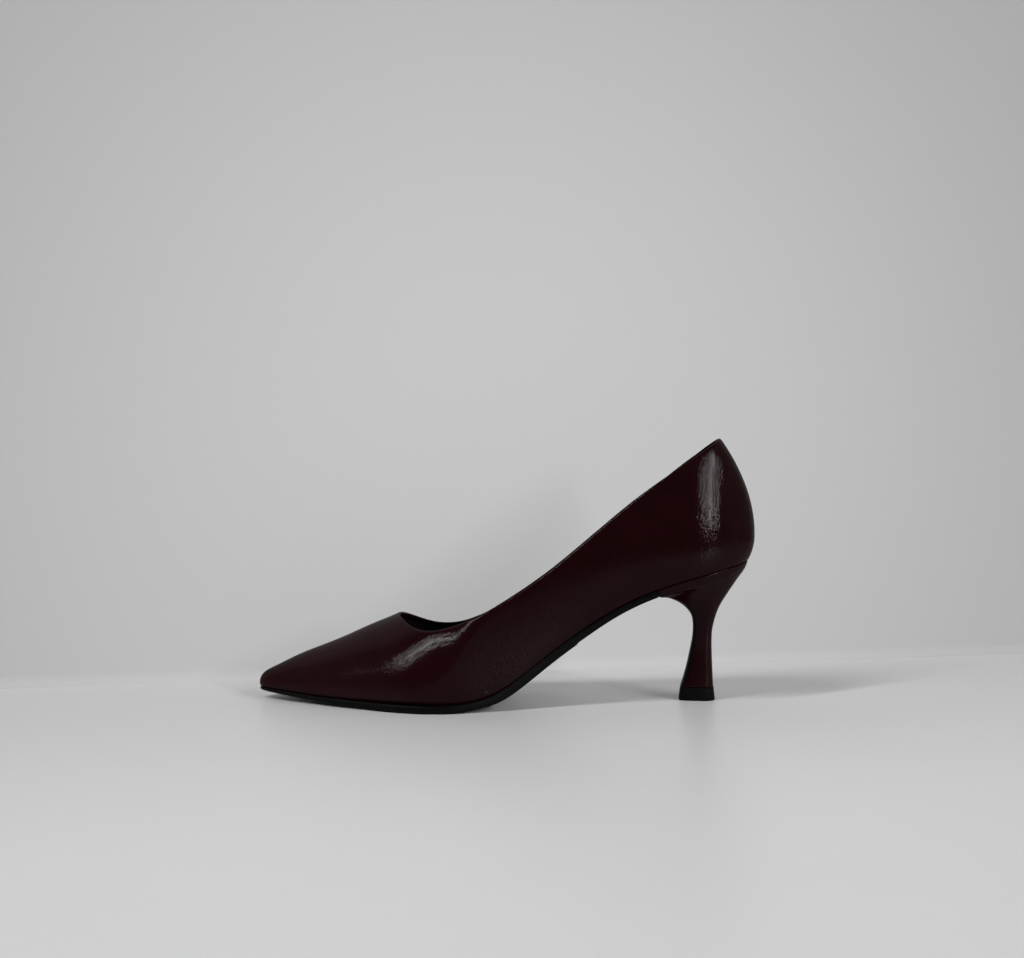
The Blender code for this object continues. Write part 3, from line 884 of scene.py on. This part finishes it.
def lining_grids(side):
    """The lining's grids of one side: the body's closed loop, then both faces of the forepart."""
    turn, angle = side_turn(side)
    tops = (LINING_TOP, LINING_TOP + 1.3, STRIP_WIDTH - 1.2)
    face = lower_rows(turn, angle, LINING_DEPTH, side, LINING_STEPS // 2, LINING_STEPS)
    back = lower_rows(turn, angle, LINING_BACK, side, LINING_STEPS // 2, LINING_STEPS)
    rows = face + [strip_row(distance, LINING_DEPTH, side) for distance in tops[::-1]]
    rows += [strip_row(distance, LINING_BACK, side) for distance in tops] + back[::-1]
    rows.append(rows[0])
    front = front_turn(side)
    ridge = np.full_like(front, QUARTER_TURN)
    inside = lower_rows(front, ridge, LINING_DEPTH, side, LINING_STEPS // 2, LINING_STEPS)
    outside = lower_rows(front, ridge, LINING_BACK, side, LINING_STEPS // 2, LINING_STEPS)
    foot = [outside[0], inside[0]]
    return [(np.stack(grid), False) for grid in (rows, outside, inside, foot)]


LINING_COLOUR = (0.0095, 0.0062, 0.0056)
lining_material = fine_material("black_lining", LINING_COLOUR, 0.6, 0.3, 1700.0, 0.00006)
make_piece("lining", lining_grids(1) + lining_grids(-1), lining_material)

# %% [markdown]
# The sock is the thin black lining glued onto the insole board, the surface the foot stands on. Its
# edge meets the lining all round, so its outline is the lining's own face at that height. The board
# under it is the CAD part itself.

# %% Sock
SOCK_LOW = 2.42
SOCK_HIGH = 2.95
SOCK_COLUMNS = 150
SOCK_ACROSS = 14


def lining_at(turn, height):
    """The lining's face at a height above the feather, on the tucked wall or on the wall."""
    line = widest_line(turn)
    rise = widest_rise(turn, line[..., 0])
    angle = np.arcsin(np.clip((height - rise) / crown(turn, line[..., 0]), -1, 1))
    angle = np.where(height < rise, np.minimum(angle, -SMALL), angle)
    down = np.clip(1 - height / rise, 0, 1)
    face = np.where((height < rise)[..., None], tuck(turn, down), wall(turn, angle))
    return face - surface_normal(turn, angle) * LINING_DEPTH


def flat_piece(edges):
    """A closed plate from edge rows, each (outer side, inner side), with the top row first."""
    half = np.linspace(0, 1, SOCK_ACROSS)[:, None, None]
    centre_top = (edges[0][0] + edges[0][1]) / 2
    centre_low = (edges[-1][0] + edges[-1][1]) / 2
    grids = []
    for side in (0, 1):
        top = centre_top + (edges[0][side] - centre_top) * half
        low = edges[-1][side] + (centre_low - edges[-1][side]) * half
        rim = np.stack([edge[side] for edge in edges])
        grids += [(top, False), (rim, False), (low, False)]
    ends = [np.concatenate([edge[0][-1:], centre[-1:], edge[1][-1:]]) for edge, centre in (
        (edges[0], centre_top), (edges[-1], centre_low))]
    grids.append((np.stack(ends), False))
    return grids


sock_turn = np.linspace(0, 1, SOCK_COLUMNS) ** 1.2
sock_edges = []
for height in (SOCK_HIGH, SOCK_LOW):
    sides = [lining_at(side * sock_turn, height) for side in (1, -1)]
    sides = [np.stack([s[:, 0], s[:, 1], seat("feather", s[:, 0]) + height], -1) for s in sides]
    sock_edges.append(sides)
SOCK_COLOUR = (0.008, 0.007, 0.007)
BOARD_COLOUR = (0.05, 0.04, 0.03)
sock_material = fine_material("black_sock", SOCK_COLOUR, 0.5, 0.3, 1500.0, 0.00007)
make_piece("sock", flat_piece(sock_edges), sock_material)
board_material = fine_material("insole_board", BOARD_COLOUR, 0.8, 0.3, 900.0, 0.00010, 0.5)
insole_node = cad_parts["insole"]
insole_node.data.materials[0] = board_material

# %% [markdown]
# The sole is one thin moulded plate. It follows the feather a little outside the upper, lies flat
# under the ball, rises in the toe and in the arch, and ends at the heel's breast. Its lower edge is
# bevelled and its upper edge is rounded. Behind the tread the underside steps up.

# %% Sole
FLAT_FRONT_X = -57.0
FLAT_BACK_X = -24.0
TOE_SPRING = 4.4
SPRING_POWER = 1.35
TREAD_END_X = 35.0
TREAD_STEP = 0.5
SOLE_OUTSET = (
    (TOE_X, -95.0, -60.0, -40.0, -24.0, 0.0, 20.0, BREAST_X),
    (0.7, 1.0, 2.0, 2.6, 2.4, 1.2, 0.5, 0.1),
)
SOLE_COLUMNS = 300
SOLE_SHOULDER = 0.8
BEVEL_BY_X = ((TOE_X, -100.0, -20.0, 5.0, BREAST_X), (0.5, 0.3, 0.2, 0.6, 0.6))
SOLE_END_X = BREAST_X + 0.36
TOP_GAP = 0.06
SOLE_COLOUR = (0.0027, 0.0026, 0.0026)
UNDERSIDE_GRIDS = (2, 5)
TREAD_MARGIN = 2.0
TREAD_PITCH = 0.0024
TREAD_FLAT = -0.2
TREAD_RELIEF = 0.0002


def sole_bottom(x):
    """Underside of the sole: toe spring, flat forepart, arch and the step behind the tread."""
    forward = np.clip(FLAT_FRONT_X - x, 0, None) / (FLAT_FRONT_X - TOE_X)
    spring = TOE_SPRING * forward**SPRING_POWER
    arch = np.maximum(seat("feather", x) - seat("sole", x), 0)
    arch = arch + np.where(x > TREAD_END_X, TREAD_STEP, 0)
    return np.where(x < FLAT_BACK_X, spring, arch)


def sole_edge(turn, outset, height):
    """Points along the feather moved out by outset, at the height a function gives at x."""
    line = feather_line(turn, outset)
    x = np.minimum(line[..., 0], SOLE_END_X)
    return np.stack([x, line[..., 1] + HEEL_LINE_Y, height(x)], -1)


def sole_top(x):
    """Upper face of the sole, just under the feather."""
    return seat("feather", x) - TOP_GAP


sole_x = widest_line(np.linspace(0, turn_at(SOLE_END_X), SOLE_COLUMNS))[:, 0]
sole_x = np.sort(np.concatenate([sole_x[:-1], [TREAD_END_X, TREAD_END_X + 0.4, SOLE_END_X]]))
sole_turn = turn_at(sole_x)
outset = np.interp(sole_x, *SOLE_OUTSET)
sole_edges = []
for bend in np.linspace(0, QUARTER_TURN, 5):
    inset = SOLE_SHOULDER * (1 - np.sin(bend))
    drop = SOLE_SHOULDER * (1 - np.cos(bend))
    sole_edges.append((inset, lambda x, drop=drop: sole_top(x) - drop))
for share in (0.0, 0.35, 0.75, 1.0):
    bevel = np.interp(sole_x, *BEVEL_BY_X)
    lift = (1 - share) ** 1.4
    sole_edges.append((bevel * share, lambda x, lift=lift: sole_bottom(x) + lift * np.interp(x, *BEVEL_BY_X)))
sole_rows = [[sole_edge(side * sole_turn, outset - inset, height) for side in (1, -1)]
             for inset, height in sole_edges]
sole_grids = flat_piece(sole_rows)
tread = [np.zeros(grid.shape[:2]) for grid, closed in sole_grids]
for index in UNDERSIDE_GRIDS:
    tread[index][1:] = 1.0
    tread[index][sole_grids[index][0][..., 0] > TREAD_END_X - TREAD_MARGIN] = 0.0
tread = np.concatenate([values.ravel() for values in tread])


def add_tread(material):
    """Fine cross ribs on the forepart's underside, where the mesh's tread attribute is one."""
    tree = material.node_tree
    shader = tree.nodes["Principled BSDF"]
    place = tree.nodes.new("ShaderNodeTexCoord").outputs["Object"]
    along = node(tree, "ShaderNodeSeparateXYZ", Vector=place).outputs["X"]
    ribs = maths(tree, "SINE", maths(tree, "MULTIPLY", along, 2 * np.pi / TREAD_PITCH))
    ribs = maths(tree, "MAXIMUM", ribs, TREAD_FLAT)
    where = tree.nodes.new("ShaderNodeAttribute")
    where.attribute_name = "tread"
    ribs = maths(tree, "MULTIPLY", ribs, where.outputs["Fac"])
    under = shader.inputs["Normal"].links[0].from_socket
    bump = node(tree, "ShaderNodeBump", Strength=1.0, Distance=TREAD_RELIEF, Height=ribs, Normal=under)
    tree.links.new(bump.outputs["Normal"], shader.inputs["Normal"])


sole_material = fine_material("moulded_sole", SOLE_COLOUR, 0.4, 0.06, 1200.0, 0.00004)
add_tread(sole_material)
make_piece(
    "sole",
    sole_grids,
    sole_material,
    replaces=("outsole",),
    attributes={"tread": tread},
)

# %% [markdown]
# The spool heel is a light core covered in the upper's leather. Its sections are D shapes whose
# outline fades from the seat's at the top to the top piece's at the foot. A spline through the
# table's rows, used here as weights on whole rows of points, makes the waist one smooth curve.

# %% Heel
GAP = 0.3
HEEL_INSET = 0.1
HEEL_COLUMNS = ("front_x", "front_z", "back_x", "back_z", "half_width", "seat_share")
HEEL = (
    (75.0, 54.1, 121.6, 67.1, 23.6, 0.95),
    (78.2, 53.1, 118.4, 62.5, 20.4, 0.85),
    (83.0, 51.7, 114.9, 57.5, 16.8, 0.65),
    (88.6, 49.1, 111.1, 51.7, 13.2, 0.40),
    (92.8, 45.5, 107.9, 45.7, 10.2, 0.20),
    (94.9, 41.7, 106.2, 40.3, 8.4, 0.05),
    (95.4, 37.0, 105.2, 36.0, 7.5, 0.0),
    (95.1, 31.5, 104.8, 31.0, 7.1, 0.0),
    (93.8, 24.5, 104.8, 24.5, 7.1, 0.0),
    (91.9, 16.0, 105.1, 16.0, 7.5, 0.0),
    (89.2, 6.8, 105.5, 6.8, 8.1, 0.0),
)
TOP_PIECE_COLUMNS = ("z", "front_x", "back_x", "half_width")
TOP_PIECE = (
    (6.5, 88.9, 105.7, 8.2),
    (0.0, 88.0, 106.4, 8.6),
)
HEEL_TURN = np.radians(-8.0)
D_CENTRE = 0.45
D_CORNER = 0.62 * np.pi
D_FRONT_POWER = 5.0
D_BACK_POWER = 3.2
SEAM_HEIGHT = 0.45
SEAM_DEPTH = 0.55
HEEL_FRONT_STEPS = 16
HEEL_SIDE_STEPS = 60
HEEL_ROWS = 110


def d_shape(angle, side):
    """The D outline, 0 to 1 front to back: a superellipse, squarer in front than behind."""
    front = np.cos(angle) < 0
    power = np.where(front, 2 / D_FRONT_POWER, 2 / D_BACK_POWER)
    reach = np.where(front, -D_CENTRE, 1 - D_CENTRE)
    along = D_CENTRE + reach * np.abs(np.cos(angle))**power
    return along, side * np.abs(np.sin(angle))**power


def turned(x, y, middle, share=1.0):
    """Turns plan points about the heel's middle by a share of the heel's turn."""
    along = x - middle
    across = y - HEEL_LINE_Y
    cosine = np.cos(HEEL_TURN * share)
    sine = np.sin(HEEL_TURN * share)
    return middle + along * cosine - across * sine, HEEL_LINE_Y + along * sine + across * cosine


def heel_rows(side):
    """The heel's table rows on one side, from the seat to the top piece."""
    front_share = np.linspace(0, 1, HEEL_FRONT_STEPS + 1)[:-1]
    start = turn_at(BREAST_X + GAP)
    around = start + (1 - start) * np.linspace(0, 1, HEEL_SIDE_STEPS + 1)
    rim = feather_line(side * around, -HEEL_INSET)
    rim_x = np.concatenate([np.full(HEEL_FRONT_STEPS + 1, BREAST_X + GAP), rim[1:, 0]])
    rim_y = np.concatenate([rim[0, 1] * front_share, rim[:, 1]])
    top = np.stack([rim_x, rim_y + HEEL_LINE_Y, seat("feather", rim_x) - TOP_GAP - SEAM_HEIGHT], -1)
    along = (rim_x - rim_x[0]) / (rim_x[-1] - rim_x[0])
    across = rim_y / np.abs(rim_y).max()
    angle = np.concatenate([
        np.pi + (D_CORNER - np.pi) * front_share,
        D_CORNER * np.linspace(1, 0, HEEL_SIDE_STEPS + 1),
    ])
    d_along, d_across = d_shape(angle, -side)
    rows = [top]
    for row in HEEL:
        cut = dict(zip(HEEL_COLUMNS, row))
        share = cut["seat_share"]
        forward = share * along + (1 - share) * d_along
        sideways = share * across + (1 - share) * d_across
        x = cut["front_x"] + (cut["back_x"] - cut["front_x"]) * forward
        y = cut["half_width"] * sideways + HEEL_LINE_Y
        x, y = turned(x, y, (cut["front_x"] + cut["back_x"]) / 2, 1 - share)
        z = cut["front_z"] + (cut["back_z"] - cut["front_z"]) * forward
        rows.append(np.stack([x, y, z], -1))
    return np.stack(rows)


def spline_rows(rows, count):
    """Many rows through a few: the spline's weights on the table rows, times the rows."""
    keys = np.concatenate([[0], np.cumsum(np.linalg.norm(np.diff(rows, axis=0), axis=-1).max(-1))])
    at = np.linspace(0, keys[-1], count)
    weights = np.stack([smooth(keys, unit_row, at) for unit_row in np.eye(len(keys))], -1)
    return np.tensordot(weights, rows, 1)


def heel_grids():
    """Both sides of the heel with its flat seat and foot."""
    grids = []
    for side in (1, -1):
        rows = spline_rows(heel_rows(side), HEEL_ROWS)
        centre = np.array([(rows[0, 0, 0] + rows[0, -1, 0]) / 2, HEEL_LINE_Y, 0.0])
        inside = rows[0] + unit((centre - rows[0]) * np.array([1.0, 1.0, 0.0])) * SEAM_DEPTH
        inside[:, 2] = rows[0, :, 2] + SEAM_HEIGHT
        rows = np.concatenate([inside[None], rows])
        middle = rows[:, :1] * 1.0
        lid = np.stack([rows[0] * share + middle[0] * (1 - share) for share in np.linspace(0, 1, 6)])
        foot = np.stack([rows[-1] * share + middle[-1] * (1 - share) for share in np.linspace(1, 0, 6)])
        grids += [(rows, False), (lid, False), (foot, False)]
    return grids


heel_leather = leather_material("heel_cover_leather", 1500.0, LEATHER_RELIEF * 0.6)
make_piece("heel_cover", heel_grids(), heel_leather, replaces=("heel",))

# %% [markdown]
# The heel's front, the breast, has a cover of its own: a strip of black sole material that starts
# at the sole's end and runs down to the top piece. It wraps a little round both corners, and shows
# from the side as a thin dark edge.

# %% Breast cover
COVER_RISE = 0.10
COVER_DEPTH = 0.5
COVER_COLUMNS = 22
COVER_WRAP = (
    (7.0, 16.0, 31.0, 40.0, 45.5, 49.1, 51.7, 53.1, 54.1, 54.8),
    (-0.7, -0.4, 0.1, -0.1, -0.5, -0.6, 0.0, 0.6, 1.2, 0.0),
)


def breast_half(side):
    """Half of the heel's front, resampled by length from the middle to a little past the corner."""
    rows = spline_rows(heel_rows(side), HEEL_ROWS)
    steps = np.linalg.norm(np.diff(rows, axis=1), axis=-1)
    length = np.concatenate([np.zeros((HEEL_ROWS, 1)), np.cumsum(steps, axis=1)], 1)
    corner = length[:, HEEL_FRONT_STEPS]
    reach = corner + np.interp(rows[:, HEEL_FRONT_STEPS, 2], *COVER_WRAP)
    half = []
    for row, known, end in zip(rows, length, reach):
        at = np.linspace(0, end, COVER_COLUMNS)
        half.append(np.stack([np.interp(at, known, row[:, k]) for k in range(3)], -1))
    return np.stack(half)


def breast_grids():
    """The heel's front a little outside its surface and again inside it, and the rims between."""
    halves = [breast_half(side) for side in (1, -1)]
    rows = np.concatenate([halves[0][:, ::-1], halves[1][:, 1:]], 1)
    normal = unit(np.cross(np.gradient(rows, axis=0), np.gradient(rows, axis=1)))
    forward = np.sign(-normal[HEEL_ROWS // 2, rows.shape[1] // 2, 0])
    outer = rows + normal * COVER_RISE * forward
    inner = rows - normal * COVER_DEPTH * forward
    rims = [np.stack([outer[0], inner[0]]), np.stack([outer[-1], inner[-1]])]
    rims += [np.stack([outer[:, 0], inner[:, 0]]), np.stack([outer[:, -1], inner[:, -1]])]
    return [(grid, False) for grid in (outer, inner, *rims)]


COVER_COLOUR = (0.0024, 0.0023, 0.0023)
cover_material = fine_material("breast_cover", COVER_COLOUR, 0.5, 0.06, 1600.0, 0.00004)
make_piece("breast_cover", breast_grids(), cover_material)

# %% [markdown]
# The top piece is the rubber block that wears: a D in plan, a little larger at the floor, with its
# lower edge slightly rounded from the mould.

# %% Top piece
TOP_PIECE_EDGE = 0.35
PIECE_STEPS = 96


def top_piece_grids():
    """Rows of the D between the table's two, rounded at both edges, closed above and below."""
    rows = []
    low = dict(zip(TOP_PIECE_COLUMNS, TOP_PIECE[1]))
    high = dict(zip(TOP_PIECE_COLUMNS, TOP_PIECE[0]))
    angle = np.linspace(0, 2 * np.pi, PIECE_STEPS, endpoint=False)
    along, across = d_shape(angle, np.sign(np.sin(angle)))
    profile = []
    for bend in np.linspace(0, QUARTER_TURN, 4):
        profile.append((high["z"] - TOP_PIECE_EDGE * (1 - np.sin(bend)), TOP_PIECE_EDGE * (1 - np.cos(bend))))
    profile = [(z, inset) for z, inset in profile[::-1]]
    for bend in np.linspace(0, QUARTER_TURN, 5):
        profile.append((TOP_PIECE_EDGE * (1 - np.sin(bend)), TOP_PIECE_EDGE * (1 - np.cos(bend))))
    for z, inset in [(high["z"], 100.0)] + profile + [(0.0, 100.0)]:
        share = z / high["z"]
        front = low["front_x"] + (high["front_x"] - low["front_x"]) * share + inset
        back = low["back_x"] + (high["back_x"] - low["back_x"]) * share - inset
        half = low["half_width"] + (high["half_width"] - low["half_width"]) * share - inset
        if inset > 50:
            centre = (low["front_x"] + low["back_x"]) / 2
            front, back, half = centre, centre, 0.0
        x = front + (back - front) * along
        x, y = turned(x, half * across + HEEL_LINE_Y, (front + back) / 2)
        rows.append(np.stack([x, y, np.full_like(x, z)], -1))
    return [(np.stack(rows), True)]


RUBBER_COLOUR = (0.0022, 0.0022, 0.0022)
rubber = fine_material("top_piece_rubber", RUBBER_COLOUR, 0.6, 0.06, 1300.0, 0.00005)
make_piece("top_piece_block", top_piece_grids(), rubber, replaces=("top_piece",))

# %% [markdown]
# The set is a pale table and a paper wall close behind it, turned a little away from the camera.
# The wall's foot is bent in a small curve, so that the crease is soft. Light and shade are painted
# on the paper: the floor is painted darker towards the crease, and the wall glows by itself, most
# near its middle.

# %% Floor and wall
FLOOR_FRONT_Y = -450.0
FLOOR_BACK_Y = 900.0
FLOOR_HALF_WIDTH = 900.0
WALL_FOOT = ((-301.4, 30.4), (351.6, 172.5))
WALL_HEIGHT = 520.0
WALL_BEND = 6.0


def one_sided(name, colour, roughness):
    """A paper material that can be looked through from behind."""
    material, shader = plain_material(name, colour, roughness, 0.3)
    tree = material.node_tree
    output = tree.nodes["Material Output"]
    clear = tree.nodes.new("ShaderNodeBsdfTransparent")
    mix = tree.nodes.new("ShaderNodeMixShader")
    geometry = tree.nodes.new("ShaderNodeNewGeometry")
    tree.links.new(geometry.outputs["Backfacing"], mix.inputs["Fac"])
    tree.links.new(shader.outputs["BSDF"], mix.inputs[1])
    tree.links.new(clear.outputs["BSDF"], mix.inputs[2])
    tree.links.new(mix.outputs["Shader"], output.inputs["Surface"])
    return material, shader


def stage_sheet(name, grid, material):
    """A sheet of the set from a grid of points in millimetres."""
    rows, columns = grid.shape[:2]
    mesh = bpy.data.meshes.new(name)
    mesh.from_pydata(grid.reshape(-1, 3) * MM, [], grid_faces(rows, columns, False).tolist())
    mesh.shade_smooth()
    mesh.materials.append(material)
    item = bpy.data.objects.new(name, mesh)
    bpy.context.collection.objects.link(item)
    return item


# Painted shade and light on the paper: the floor's grey darkens towards the crease, and the wall glows, less away
# from its middle.
FLOOR_PALE = 0.80
FLOOR_CREASE_PAINTED_SHADE = 0.62
FLOOR_PAINTED_SHADE_REACH = 0.36
WALL_PALE = 0.25
WALL_PAINTED_GLOW = 0.365
WALL_PAINTED_GLOW_DROP = 0.5
WALL_PAINTED_GLOW_RADIUS = 0.52
WALL_PAINTED_GLOW_CENTRE = (-0.02, 0.11, 0.17)
PAPER_RELIEF = 0.00001
PAPER_UNEVEN = 0.02


def build_painted_falloff():
    """A grey that runs softly from a near value to a far one over a reach of distance: painted light and shade on the
    paper.
    """
    group = bpy.data.node_groups.new("painted_light_falloff", "ShaderNodeTree")
    for label in ("Distance", "Reach", "Near", "Far"):
        group_socket(group, label, "NodeSocketFloat", "INPUT", 0.5)
    group_socket(group, "Grey", "NodeSocketFloat", "OUTPUT")
    source = group.nodes.new("NodeGroupInput")
    target = group.nodes.new("NodeGroupOutput")
    fade = group.nodes.new("ShaderNodeMapRange")
    fade.interpolation_type = "SMOOTHSTEP"
    group.links.new(source.outputs["Distance"], fade.inputs["Value"])
    group.links.new(source.outputs["Reach"], fade.inputs["From Max"])
    group.links.new(source.outputs["Near"], fade.inputs["To Min"])
    group.links.new(source.outputs["Far"], fade.inputs["To Max"])
    group.links.new(fade.outputs["Result"], target.inputs["Grey"])
    return group


painted_falloff_group = build_painted_falloff()


def painted_falloff(tree, distance, reach, near, far):
    """The shared painted falloff on a distance socket, as a grey socket."""
    fade = tree.nodes.new("ShaderNodeGroup")
    fade.node_tree = painted_falloff_group
    tree.links.new(distance, fade.inputs["Distance"])
    fade.inputs["Reach"].default_value = reach
    fade.inputs["Near"].default_value = near
    fade.inputs["Far"].default_value = far
    return fade.outputs["Grey"]


floor_material, floor_shader = plain_material("floor_paper", (0.78, 0.785, 0.785), 0.36, 0.35)
floor_tree = floor_material.node_tree
floor_place = floor_tree.nodes.new("ShaderNodeTexCoord").outputs["Object"]
foot_line = np.subtract(WALL_FOOT[1], WALL_FOOT[0]) * MM
foot_facing = np.array([foot_line[1], -foot_line[0]]) / np.linalg.norm(foot_line)
foot_distance = floor_tree.nodes.new("ShaderNodeVectorMath")
foot_distance.operation = "DOT_PRODUCT"
foot_distance.inputs[1].default_value = (*foot_facing, 0.0)
floor_tree.links.new(floor_place, foot_distance.inputs[0])
foot_offset = -float(foot_facing @ (np.array(WALL_FOOT[0]) * MM))
from_wall = maths(floor_tree, "ADD", foot_distance.outputs["Value"], foot_offset)
# Painted shade: the floor's grey is made darker near the wall's foot, in the crease.
floor_grey_with_painted_shade = painted_falloff(floor_tree, from_wall, FLOOR_PAINTED_SHADE_REACH, FLOOR_CREASE_PAINTED_SHADE, FLOOR_PALE)
add_fine_surface(floor_material, floor_shader, floor_grey_with_painted_shade, 700.0, PAPER_RELIEF, PAPER_UNEVEN)

wall_material, wall_shader = one_sided("wall_paper", (WALL_PALE, WALL_PALE, WALL_PALE), 0.8)
wall_tree = wall_material.node_tree
wall_place = wall_tree.nodes.new("ShaderNodeTexCoord").outputs["Object"]
wall_distance = wall_tree.nodes.new("ShaderNodeVectorMath")
wall_distance.operation = "DISTANCE"
wall_distance.inputs[1].default_value = WALL_PAINTED_GLOW_CENTRE
wall_tree.links.new(wall_place, wall_distance.inputs[0])
# Painted light: the wall glows by its own emission, most near its middle and less further out.
wall_painted_glow = painted_falloff(wall_tree, wall_distance.outputs["Value"], WALL_PAINTED_GLOW_RADIUS, WALL_PAINTED_GLOW, WALL_PAINTED_GLOW * (1 - WALL_PAINTED_GLOW_DROP))
wall_colour = (WALL_PALE, WALL_PALE, WALL_PALE)
add_fine_surface(wall_material, wall_shader, wall_colour, 700.0, PAPER_RELIEF, PAPER_UNEVEN)
wall_tree.links.new(wall_painted_glow, wall_shader.inputs["Emission Color"])
wall_shader.inputs["Emission Strength"].default_value = 1.0
floor_grid = np.array([
    [[-FLOOR_HALF_WIDTH, FLOOR_FRONT_Y, 0.0], [FLOOR_HALF_WIDTH, FLOOR_FRONT_Y, 0.0]],
    [[-FLOOR_HALF_WIDTH, FLOOR_BACK_Y, 0.0], [FLOOR_HALF_WIDTH, FLOOR_BACK_Y, 0.0]],
])
stage_sheet("floor", floor_grid, floor_material)
foot = np.linspace(WALL_FOOT[0], WALL_FOOT[1], 24)
facing = np.array([foot[-1, 1] - foot[0, 1], foot[0, 0] - foot[-1, 0]])
facing = facing / np.linalg.norm(facing)
wall_rows = []
for bend in np.linspace(0, QUARTER_TURN, 13):
    plan = foot + facing * WALL_BEND * (1 - np.sin(bend))
    wall_rows.append(np.column_stack([plan, np.full(len(foot), WALL_BEND * (1 - np.cos(bend)) + 0.05)]))
wall_rows.append(np.column_stack([foot, np.full(len(foot), WALL_HEIGHT)]))
stage_sheet("wall", np.stack(wall_rows), wall_material)

# %% [markdown]
# Two soft lights stand in front of the shoe, one to the left and one to the right, with a dark gap
# between them. The leather shows each as a long highlight. The right one is bent, so its highlight
# on the heel follows a curve. Directions are seen from the shoe: azimuth from the camera's side
# towards the heel, and elevation above the floor.

# %% Lights
LIGHT_DISTANCE = 4000.0
LEFT_LIGHT = ((-55.0, 28.0), (-55.0, 45.0), (-55.0, 62.0))
LEFT_WIDTH = (1.0, 2.6, 3.2)
LEFT_POWER = 64.0
RIGHT_LIGHT = ((38.0, 7.0), (39.5, 12.0), (43.0, 20.0), (51.0, 28.0), (65.0, 34.0), (82.0, 38.0))
RIGHT_WIDTH = (2.6, 2.4, 1.9, 1.5, 1.2, 1.0)
RIGHT_POWER = 72.0
LIGHT_STEPS = 24


def direction(azimuth, elevation):
    """Unit direction from the shoe to a place given in degrees."""
    azimuth, elevation = np.radians(azimuth), np.radians(elevation)
    flat = np.cos(elevation)
    return np.stack([np.sin(azimuth) * flat, -np.cos(azimuth) * flat, np.sin(elevation)], -1)


def emitter(name, strength, colour=(1.0, 1.0, 1.0)):
    """An emission material of one strength."""
    material = bpy.data.materials.new(name)
    material.use_nodes = True
    tree = material.node_tree
    tree.nodes.clear()
    output = tree.nodes.new("ShaderNodeOutputMaterial")
    glow = tree.nodes.new("ShaderNodeEmission")
    glow.inputs["Color"].default_value = (*colour, 1)
    glow.inputs["Strength"].default_value = strength
    tree.links.new(glow.outputs["Emission"], output.inputs["Surface"])
    return material


def light_strip(name, path, width, strength, colour=(1.0, 1.0, 1.0)):
    """A bent strip of light along a path of directions, with an angular width for each of them."""
    path = np.array(path)
    keys = np.linspace(0, 1, len(path))
    at = np.linspace(0, 1, LIGHT_STEPS)
    centre = direction(*[smooth(keys, path[:, k], at) for k in (0, 1)])
    along = unit(np.gradient(centre, axis=0))
    across = unit(np.cross(along, centre))
    half = np.tan(np.radians(np.interp(at, keys, width) / 2))[:, None]
    grid = np.stack([centre - across * half, centre + across * half]) * LIGHT_DISTANCE
    item = stage_sheet(name, grid, emitter(name, strength, colour))
    return item


light_strip("left_light", LEFT_LIGHT, LEFT_WIDTH, LEFT_POWER)
light_strip("right_light", RIGHT_LIGHT, RIGHT_WIDTH, RIGHT_POWER)

WORLD_BRIGHT = 0.28
WORLD_FRONT = 0.04
WORLD_TOP_SHARE = 0.15


def build_world():
    """Room light by direction: dim in front of the shoe and below the floor's edge."""
    world = bpy.data.worlds.new("room")
    world.use_nodes = True
    bpy.context.scene.world = world
    tree = world.node_tree
    background = tree.nodes["Background"]
    coordinates = tree.nodes.new("ShaderNodeTexCoord")
    parts = tree.nodes.new("ShaderNodeSeparateXYZ")
    tree.links.new(coordinates.outputs["Generated"], parts.inputs["Vector"])
    front = tree.nodes.new("ShaderNodeMapRange")
    front.interpolation_type = "SMOOTHSTEP"
    front.inputs["From Min"].default_value = -0.80
    front.inputs["From Max"].default_value = -0.35
    front.inputs["To Min"].default_value = WORLD_FRONT
    front.inputs["To Max"].default_value = WORLD_BRIGHT
    tree.links.new(parts.outputs["Y"], front.inputs["Value"])
    low = tree.nodes.new("ShaderNodeMapRange")
    low.interpolation_type = "SMOOTHSTEP"
    low.inputs["From Min"].default_value = -0.12
    low.inputs["From Max"].default_value = 0.04
    low.inputs["To Min"].default_value = 0.1
    low.inputs["To Max"].default_value = 1.0
    tree.links.new(parts.outputs["Z"], low.inputs["Value"])
    product = tree.nodes.new("ShaderNodeMath")
    product.operation = "MULTIPLY"
    tree.links.new(front.outputs["Result"], product.inputs[0])
    tree.links.new(low.outputs["Result"], product.inputs[1])
    top = tree.nodes.new("ShaderNodeMapRange")
    top.interpolation_type = "SMOOTHSTEP"
    top.inputs["From Min"].default_value = 0.55
    top.inputs["From Max"].default_value = 0.85
    top.inputs["To Min"].default_value = 1.0
    top.inputs["To Max"].default_value = WORLD_TOP_SHARE
    tree.links.new(parts.outputs["Z"], top.inputs["Value"])
    strength = maths(tree, "MULTIPLY", product.outputs["Value"], top.outputs["Result"])
    tree.links.new(strength, background.inputs["Strength"])
    background.inputs["Color"].default_value = (0.98, 0.99, 1.0, 1)
    return world


build_world()
bpy.context.scene.view_settings.view_transform = "Standard"

# %% Scene update
bpy.context.view_layer.update()
